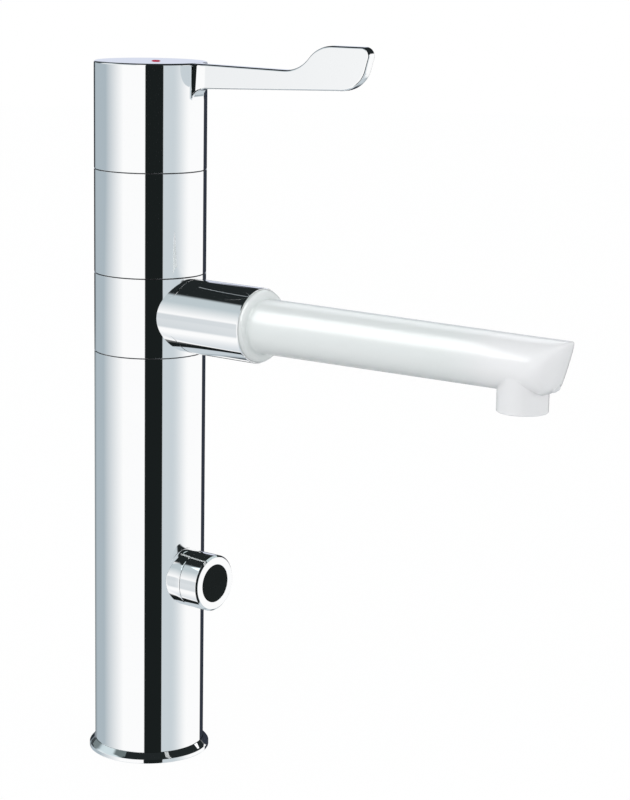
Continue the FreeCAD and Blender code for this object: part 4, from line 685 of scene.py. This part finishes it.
class TAP_OT_lever_cap(bpy.types.Operator):
    """Model the cap with its lever, and the red index dot"""

    bl_idname = "tap.lever_cap"
    bl_label = "Cap and Lever"

    def arc(self, start, end, radius, left, steps=10):
        """Points of an arc after its start, bulging to the left or right of the way."""
        start, end = Vector(start), Vector(end)
        way = end - start
        out = Vector((way.y, -way.x)).normalized() * (1.0 if left else -1.0)
        centre = (start + end) / 2 - out * math.sqrt(max(0.0, radius * radius - way.length_squared / 4))
        first, last = start - centre, end - centre
        sweep = first.angle_signed(last)
        turns = [Matrix.Rotation(-sweep * step / steps, 2) for step in range(1, steps + 1)]
        return [tuple(centre + turn @ first) for turn in turns]

    def side_view(self, sizes, top):
        """The blade's outline in metres: along the lever, and up."""
        skin, bottom, inset, fillet = sizes.column_radius, top - 10.9 * MM, 4.0 * MM, 5.0 * MM
        crest, neck, reach = top + 10.0 * MM, top - 1.0 * MM, 110.9 * MM
        heel, heel_drop, heel_round = 14.9 * MM, 8.6 * MM, 13.0 * MM
        end_lean, end_drop = 1.9 * MM, 0.6 * MM
        corner, corner_drop, corner_round = 3.5 * MM, 3.9 * MM, 4.0 * MM
        paddle, bend_long, rise = reach - 17.9 * MM, 23.0 * MM, crest - neck
        bend = (bend_long ** 2 + rise ** 2) / (4 * rise)
        points = [(skin - inset, bottom - fillet), (skin, bottom - fillet)]
        points += self.arc(points[-1], (skin + fillet, bottom), fillet, False)
        points.append((reach - heel, top - heel_drop))
        points += self.arc(points[-1], (reach - end_lean, top - end_drop), heel_round, True)
        points.append((reach, crest - corner_drop))
        points += self.arc(points[-1], (reach - corner, crest), corner_round, True)
        points.append((paddle, crest))
        points += self.arc(points[-1], (paddle - bend_long / 2, crest - rise / 2), bend, True)
        points += self.arc(points[-1], (paddle - bend_long, neck), bend, False)
        points.append((skin - inset, top - 0.05 * MM))
        return points

    def blade(self, sizes, top):
        """The lever's blade, with a fillet on each side of its root."""
        half, flare, skin, sunk = sizes.lever_thick / 2, sizes.lever_root, sizes.column_radius, 0.58 * MM
        along = math.sqrt((skin + flare - sunk) ** 2 - (half + flare) ** 2)
        touch = along * skin / (skin + flare)
        bm = outline(self.side_view(sizes, top))
        face = bmesh.ops.contextual_create(bm, geom=bm.edges[:])["faces"]
        for vert in bm.verts:
            vert.co.y = -half
        swept = bmesh.ops.extrude_face_region(bm, geom=face)["geom"]
        bmesh.ops.translate(bm, vec=(0.0, 2 * half, 0.0),
                            verts=[item for item in swept if isinstance(item, bmesh.types.BMVert)])
        sweep, stations = math.asin((along - touch) / flare), 16
        for step in range(stations + 1):
            x = along - flare * math.sin(sweep * step / stations)
            bmesh.ops.bisect_plane(bm, geom=bm.verts[:] + bm.edges[:] + bm.faces[:], dist=1e-7,
                                   plane_co=(x, 0, 0), plane_no=(1, 0, 0))
        bmesh.ops.recalc_face_normals(bm, faces=bm.faces[:])
        sides = [f for f in bm.faces if abs(f.normal.y) > 0.9]
        rim = {e for f in sides for e in f.edges if any(abs(g.normal.y) < 0.5 for g in e.link_faces)}
        for vert in bm.verts:
            if vert.co.x < along:
                back = min(along - vert.co.x, along - touch)
                wide = half + flare - math.sqrt(flare * flare - back * back)
                vert.co.y = math.copysign(wide, vert.co.y)
        bmesh.ops.bevel(bm, geom=list(rim), offset=sizes.lever_edge, offset_type="OFFSET", segments=5,
                        profile=0.5, affect="EDGES", material=-1, clamp_overlap=False)
        return bm

    def execute(self, context):
        sizes = context.scene.tap_sizes
        foot, top = low("lever_cap", "z"), 315.8 * MM
        radius, wall, ceiling = sizes.column_radius, 3.5 * MM, top - 5.0 * MM
        boss, boss_foot, bore, bore_top = 10.5 * MM, 273.5 * MM, 6.9 * MM, 290.6 * MM
        turn = lever_way(sizes)
        cap = turned([
            (radius - wall, foot), (radius, foot), (radius, top), (0.0, top), (0.0, bore_top),
            (bore, bore_top), (bore, boss_foot), (boss, boss_foot), (boss, ceiling), (radius - wall, ceiling),
        ], {1: sizes.tube_edge, 2: sizes.cap_round}, steps=FINE_STEPS)
        for step in range(10):
            bmesh.ops.bisect_plane(cap, geom=cap.verts[:] + cap.edges[:] + cap.faces[:], dist=1e-7,
                                   plane_co=(0, 0, top - (20.0 - 2.0 * step) * MM), plane_no=(0, 0, 1))
        cap = carved(cap, self.blade(sizes, top), "UNION")
        hole, hole_start, hole_end = 2.55 * MM, 4.0 * MM, 30.0 * MM
        cap = carved(cap, rod(hole, hole_start, hole_end, at_height(CAP_SCREW, TO_CAP_BACK)))
        bed, bed_foot, dot_radius = Matrix.Translation((2.75 * MM, 0, 0)), low("index_dot", "z"), 2.0 * MM
        cap = carved(cap, rod(dot_radius + 0.05 * MM, bed_foot, top + MM, bed))
        bmesh.ops.transform(cap, matrix=turn, verts=cap.verts[:])
        make_piece(context, "cap_and_lever", cap, "lever", "chrome", "lever_cap")

        brim, crown, crown_radius = top + 0.1 * MM, top + 0.4 * MM, 1.3 * MM
        dot = turned([(0.0, bed_foot), (dot_radius, bed_foot), (dot_radius, brim), (crown_radius, crown),
                      (0.0, crown)], {2: 0.3 * MM, 3: 0.8 * MM}, closed=False, steps=96, place=turn @ bed)
        make_piece(context, "red_index", dot, "lever", "red_index", "index_dot")
        return {"FINISHED"}


class TAP_OT_screws(bpy.types.Operator):
    """Model the four set screws of the column and the screw of the cap"""

    bl_idname = "tap.screws"
    bl_label = "Screws"

    def screw(self, radius, start, end, key, place):
        """A headless screw along Z with a hexagon socket in its end."""
        chamfer = radius * 0.15
        inner, socket = radius - chamfer, 2.2 * MM
        bm = turned([(0.0, start), (inner, start), (radius, start + chamfer), (radius, end - chamfer),
                     (inner, end), (0.0, end)], closed=False, steps=64, place=place)
        return carved(bm, rod(key, end - socket, end + MM, place, steps=6))

    def execute(self, context):
        sizes = context.scene.tap_sizes
        start, end, key = low("set_screws", "y"), high("set_screws", "y"), 1.15 * MM
        together = bmesh.new()
        for height in LOWER_SCREWS + UPPER_SCREWS:
            one = scratch(self.screw(sizes.screw_radius, start, end, key, at_height(height, TO_BACK)))
            together.from_mesh(one.data)
            clear(one)
        make_piece(context, "column_screws", together, "column", "steel", "set_screws")

        place = lever_way(sizes) @ at_height(CAP_SCREW, TO_CAP_BACK)
        one = self.screw(radius=2.5 * MM, start=6.9 * MM, end=12.4 * MM, key=1.45 * MM, place=place)
        make_piece(context, "cap_screw", one, "lever", "steel", "lever_screw")
        return {"FINISHED"}


class TAP_OT_inner_finishes(bpy.types.Operator):
    """Give each CAD node that stays in view the finish of its slot"""

    bl_idname = "tap.inner_finishes"
    bl_label = "Inner Finishes"

    def execute(self, context):
        slots = {part["node"]: part["material_slot"] for part in frame["record"]["subparts"]}
        for name, item in frame["nodes"].items():
            item.data.materials.clear()
            item.data.materials.append(finish(context, slots[name]))
        return {"FINISHED"}


class TAP_OT_studio(bpy.types.Operator):
    """Set up the floor, the cards, the light and the camera"""

    bl_idname = "tap.studio"
    bl_label = "Studio"

    def heading(self, graph, studio, vector):
        """Degrees of a direction: round from the camera's side, right positive, and above the horizon."""
        side = math.atan2(studio.camera_place[1], studio.camera_place[0])
        facing = graph.node("ShaderNodeVectorRotate", {"rotation_type": "Z_AXIS"},
                            {"Vector": vector, "Angle": -side})
        x, y, z = graph.parts(facing)
        return x.maths("ARCTAN2", y, x) * math.degrees(1.0), z.maths("ARCSINE", z) * math.degrees(1.0)

    def cards(self, graph, studio, around, above):
        """The colour that polished pieces meet in a direction: white cards, grey ones and black flags."""
        # All angles are in degrees: around counts from the camera's side, above from the horizon.
        between, window = graph.between, graph.window
        white, black = studio.card_white, studio.card_black
        grey_start = -112.0 + 8.0 * between(above, -10.0, -5.0)
        far_left = 1.0 - between(around, -174.0, -142.0)
        left_limb = (1.0 - between(around, -158.0, -152.0)) * between(above, -11.0, -9.0)
        right_grey = between(around, 24.0, 27.0) * (1.0 - between(around, 44.0, 90.0))
        upper_left = between(above, 2.0, 7.0) * window(around, -118.0, -30.0, 16.0)
        upper_tone = graph.mix(graph.rise(above, 6.0, 32.0), white, (0.52, 0.59, 0.62))
        upper_back = between(above, 1.0, 5.0) * (1.0 - between(around, -129.0, -119.0))
        behind = between(abs(around), 164.0, 170.0) * between(above, -1.0, 1.5)
        below = 1.0 - between(above, -30.0, -24.0)
        lower_left = below * (1.0 - between(around, -62.0, -40.0))
        lower_tone = graph.mix(graph.rise(above, -56.0, -36.0), (0.58, 0.64, 0.69), white)
        lower_right = below * between(around, 26.0, 34.0)
        lever_end = window(around, 106.0, 126.0, 4.0) * (1.0 - between(above, -24.0, -20.5))
        behind_below = between(abs(around), 136.0, 146.0) * window(above, -50.0, -37.0, 4.0)
        deep = (1.0 - between(above, -50.0, -45.0)) * window(around, -28.0, 28.0, 4.0)
        edge = 44.5 - 26.0 * between(around, -14.0, 26.0) - 4.0 * between(around, 60.0, 90.0)
        edge = edge - 24.5 * (1.0 - between(around, -168.0, -158.0))

        shade = graph.mix(graph.rise(around, grey_start, -57.0), studio.card_grey, white)
        for amount, tone in (
            (far_left, (0.15, 0.17, 0.175)),
            (left_limb, (0.02, 0.025, 0.03)),
            (right_grey, (0.59, 0.65, 0.685)),
            (between(around, 136.5, 139.5), (0.03, 0.036, 0.05)),
            (upper_left, upper_tone),
            (upper_back, (0.05, 0.06, 0.065)),
            (behind, (0.70, 0.74, 0.86)),
            (lower_left, lower_tone),
            (lower_right, (0.58, 0.64, 0.68)),
            (lever_end, (0.36, 0.42, 0.45)),
            (behind_below, (0.09, 0.11, 0.125)),
            (window(around, -10.8, 25.7, 1.6), black),
            (deep, black),
            (between(above - edge, -1.5, 2.5), (0.016, 0.02, 0.021)),
        ):
            shade = graph.mix(amount, shade, tone)
        return shade

    def world(self, context, studio):
        """White studio for the eye, soft light for plain surfaces, cards and flags for polished ones."""
        world = bpy.data.worlds.new("studio")
        context.scene.world = world
        graph = Graph(world)
        way = graph.node("ShaderNodeTexCoord", out="Generated")
        shade = self.cards(graph, studio, *self.heading(graph, studio, way))
        height = graph.parts(way)[2]
        soft = graph.mix(graph.between(height, -0.7, 0.0), (0.96, 0.97, 0.99), (1.22, 1.225, 1.24))
        soft = graph.mix(graph.between(height, 0.3, 0.85), soft, (0.34, 0.36, 0.365))
        seen, mirrored = graph.rays("Is Camera Ray", "Is Glossy Ray")
        light = graph.mix(seen, graph.mix(mirrored, soft, shade), (1.0, 1.0, 1.0))
        background = graph.node("ShaderNodeBackground", None, {"Color": light, "Strength": 1.0})
        graph.node("ShaderNodeOutputWorld", None, {"Surface": background})

    def floor(self, context):
        """A pale floor that reads white and keeps a breath of shadow."""
        bm = bmesh.new()
        bmesh.ops.create_circle(bm, cap_ends=True, segments=128, radius=4.0,
                                matrix=Matrix.Translation((0, 0, -0.3 * MM)))
        mesh = bpy.data.meshes.new("floor")
        bm.to_mesh(mesh)
        bm.free()
        pale = bpy.data.materials.new("pale_floor")
        mesh.materials.append(pale)
        graph = Graph(pale)
        tone = graph.mix(graph.noise(300.0, 2.0), (0.83, 0.83, 0.83), (0.85, 0.85, 0.85))
        plain = graph.node("ShaderNodeBsdfDiffuse", None, {"Color": tone})
        glow = graph.node("ShaderNodeEmission", None, {"Color": (1.0, 1.0, 1.0), "Strength": 1.03})
        seen, = graph.rays("Is Camera Ray")
        mixed = graph.node("ShaderNodeMixShader", None, {0: seen * 0.93, 1: plain, 2: glow})
        graph.node("ShaderNodeOutputMaterial", None, {"Surface": mixed})
        item = bpy.data.objects.new("floor", mesh)
        item.visible_glossy = False
        context.scene.collection.objects.link(item)

    def area_light(self, context, name, place, size, power, *pieces):
        """A soft light as wide and long as its size; with pieces named, it reaches only those."""
        data = bpy.data.lights.new(name, "AREA")
        data.shape, data.energy = "RECTANGLE", power
        data.size, data.size_y = size
        item = bpy.data.objects.new(name, data)
        item.matrix_world = place
        context.scene.collection.objects.link(item)
        if pieces:
            lit = bpy.data.collections.new(name + "_lit")
            for piece in pieces:
                lit.objects.link(bpy.data.objects[piece])
            item.light_linking.receiver_collection = lit
        return item

    def panel(self, context, name, middle, across, up, light, *pieces):
        """A soft panel mirrored only by the named pieces; its middle and edges are in millimetres."""
        # An area light's brightness is its power over four times its area.
        across, up, peak = Vector(across) * MM, Vector(up) * MM, max(light)
        axes = across.normalized(), up.normalized(), across.cross(up).normalized()
        place = Matrix.Translation(Vector(middle) * MM) @ Matrix(axes).transposed().to_4x4()
        size = across.length, up.length
        item = self.area_light(context, name, place, size, 4.0 * size[0] * size[1] * peak, *pieces)
        item.data.color = [part / peak for part in light]
        item.visible_camera = item.visible_diffuse = item.visible_transmission = False

    def panels(self, context):
        """Panels that give the spout, sensor and foot ring their own highlights."""
        sensor = "sensor_barrel", "sensor_front"
        for name, middle, across, up, light, pieces in (
            ("spout_strip", (-87, -45, 262), (127, 0, 0), (0, 210, 0), (4.2, 4.2, 4.15), ("white_spout",)),
            ("spout_rim", (47, -100, 262), (66, 0, 0), (0, 180, 0), (1.5, 1.55, 1.6), ("white_spout",)),
            ("sensor_top_left", (-45, -10, 140), (50, 0, 0), (0, 40, 0), (0.42, 0.48, 0.5), sensor),
            ("sensor_top_right", (38, -75, 140), (65, 0, 0), (0, 50, 0), (0.42, 0.49, 0.5), sensor),
            ("foot_left", (-37, 129, 157), (-192, -175, 0), (0, 0, 245), (0.1, 0.125, 0.127), ("foot_ring",)),
            ("foot_right", (136, -38, 82), (52, 47, 0), (0, 0, 45), (0.95, 0.96, 0.97), ("foot_ring",)),
        ):
            self.panel(context, name, middle, across, up, light, *pieces)

    def lamp(self, context, name, place, aim, size, power, *pieces):
        """A soft lamp aimed at a place, with its length along Y; polished pieces don't show it."""
        way = Vector(aim) - Vector(place)
        turn = way.to_track_quat("-Z", "Y").to_matrix().to_4x4()
        item = self.area_light(context, name, Matrix.Translation(place) @ turn, size, power, *pieces)
        item.visible_glossy = False

    def lamps(self, context, studio):
        """The key light, and a strip light for the white spout."""
        self.lamp(context, "key_light", (-0.9, -0.35, 0.85), (0.0, -0.1, 0.2), (0.5, 0.5), studio.key_power)
        self.lamp(context, "strip_light", (-0.29, 0.20, 0.60), (0.0, -0.14, 0.205), (0.6, 0.26),
                  studio.strip_power, "white_spout")

    def execute(self, context):
        studio = context.scene.tap_studio
        context.scene.view_settings.view_transform = "Standard"
        self.world(context, studio)
        self.floor(context)
        self.panels(context)
        self.lamps(context, studio)
        data = bpy.data.cameras.new("camera")
        data.sensor_fit, data.sensor_height, data.lens = "VERTICAL", 36.0, studio.focal_length
        data.clip_start, data.clip_end = 0.01, 50.0
        camera = bpy.data.objects.new("camera", data)
        camera.location, camera.rotation_euler = studio.camera_place, studio.camera_turn
        context.scene.collection.objects.link(camera)
        context.scene.camera = camera
        return {"FINISHED"}


OPERATORS = (
    TAP_OT_foot_ring,
    TAP_OT_column_tubes,
    TAP_OT_sensor,
    TAP_OT_spout_socket,
    TAP_OT_white_spout,
    TAP_OT_lever_cap,
    TAP_OT_screws,
    TAP_OT_inner_finishes,
    TAP_OT_studio,
)


class TAP_PT_pieces(bpy.types.Panel):
    """Lists the tap's pieces and its studio"""

    bl_idname = "TAP_PT_pieces"
    bl_label = "Sensor Mixer Tap"
    bl_space_type = "VIEW_3D"
    bl_region_type = "UI"
    bl_category = "Tap"

    def draw(self, context):
        for operator in OPERATORS:
            self.layout.operator(operator.bl_idname)
        for group in (context.scene.tap_sizes, context.scene.tap_finishes, context.scene.tap_studio):
            box = self.layout.box()
            for name in group.__annotations__:
                box.prop(group, name)


CLASSES = (TapSizes, TapFinishes, Studio, *OPERATORS, TAP_PT_pieces)


def register():
    for item in CLASSES:
        bpy.utils.register_class(item)
    bpy.types.Scene.tap_sizes = PointerProperty(type=TapSizes)
    bpy.types.Scene.tap_finishes = PointerProperty(type=TapFinishes)
    bpy.types.Scene.tap_studio = PointerProperty(type=Studio)


def unregister():
    del bpy.types.Scene.tap_sizes, bpy.types.Scene.tap_finishes, bpy.types.Scene.tap_studio
    for item in reversed(CLASSES):
        bpy.utils.unregister_class(item)


def main():
    register()
    bpy.ops.tap.foot_ring()
    bpy.ops.tap.column_tubes()
    bpy.ops.tap.sensor()
    bpy.ops.tap.spout_socket()
    bpy.ops.tap.white_spout()
    bpy.ops.tap.lever_cap()
    bpy.ops.tap.screws()
    bpy.ops.tap.inner_finishes()
    bpy.ops.tap.studio()


if __name__ == "__main__":
    main()
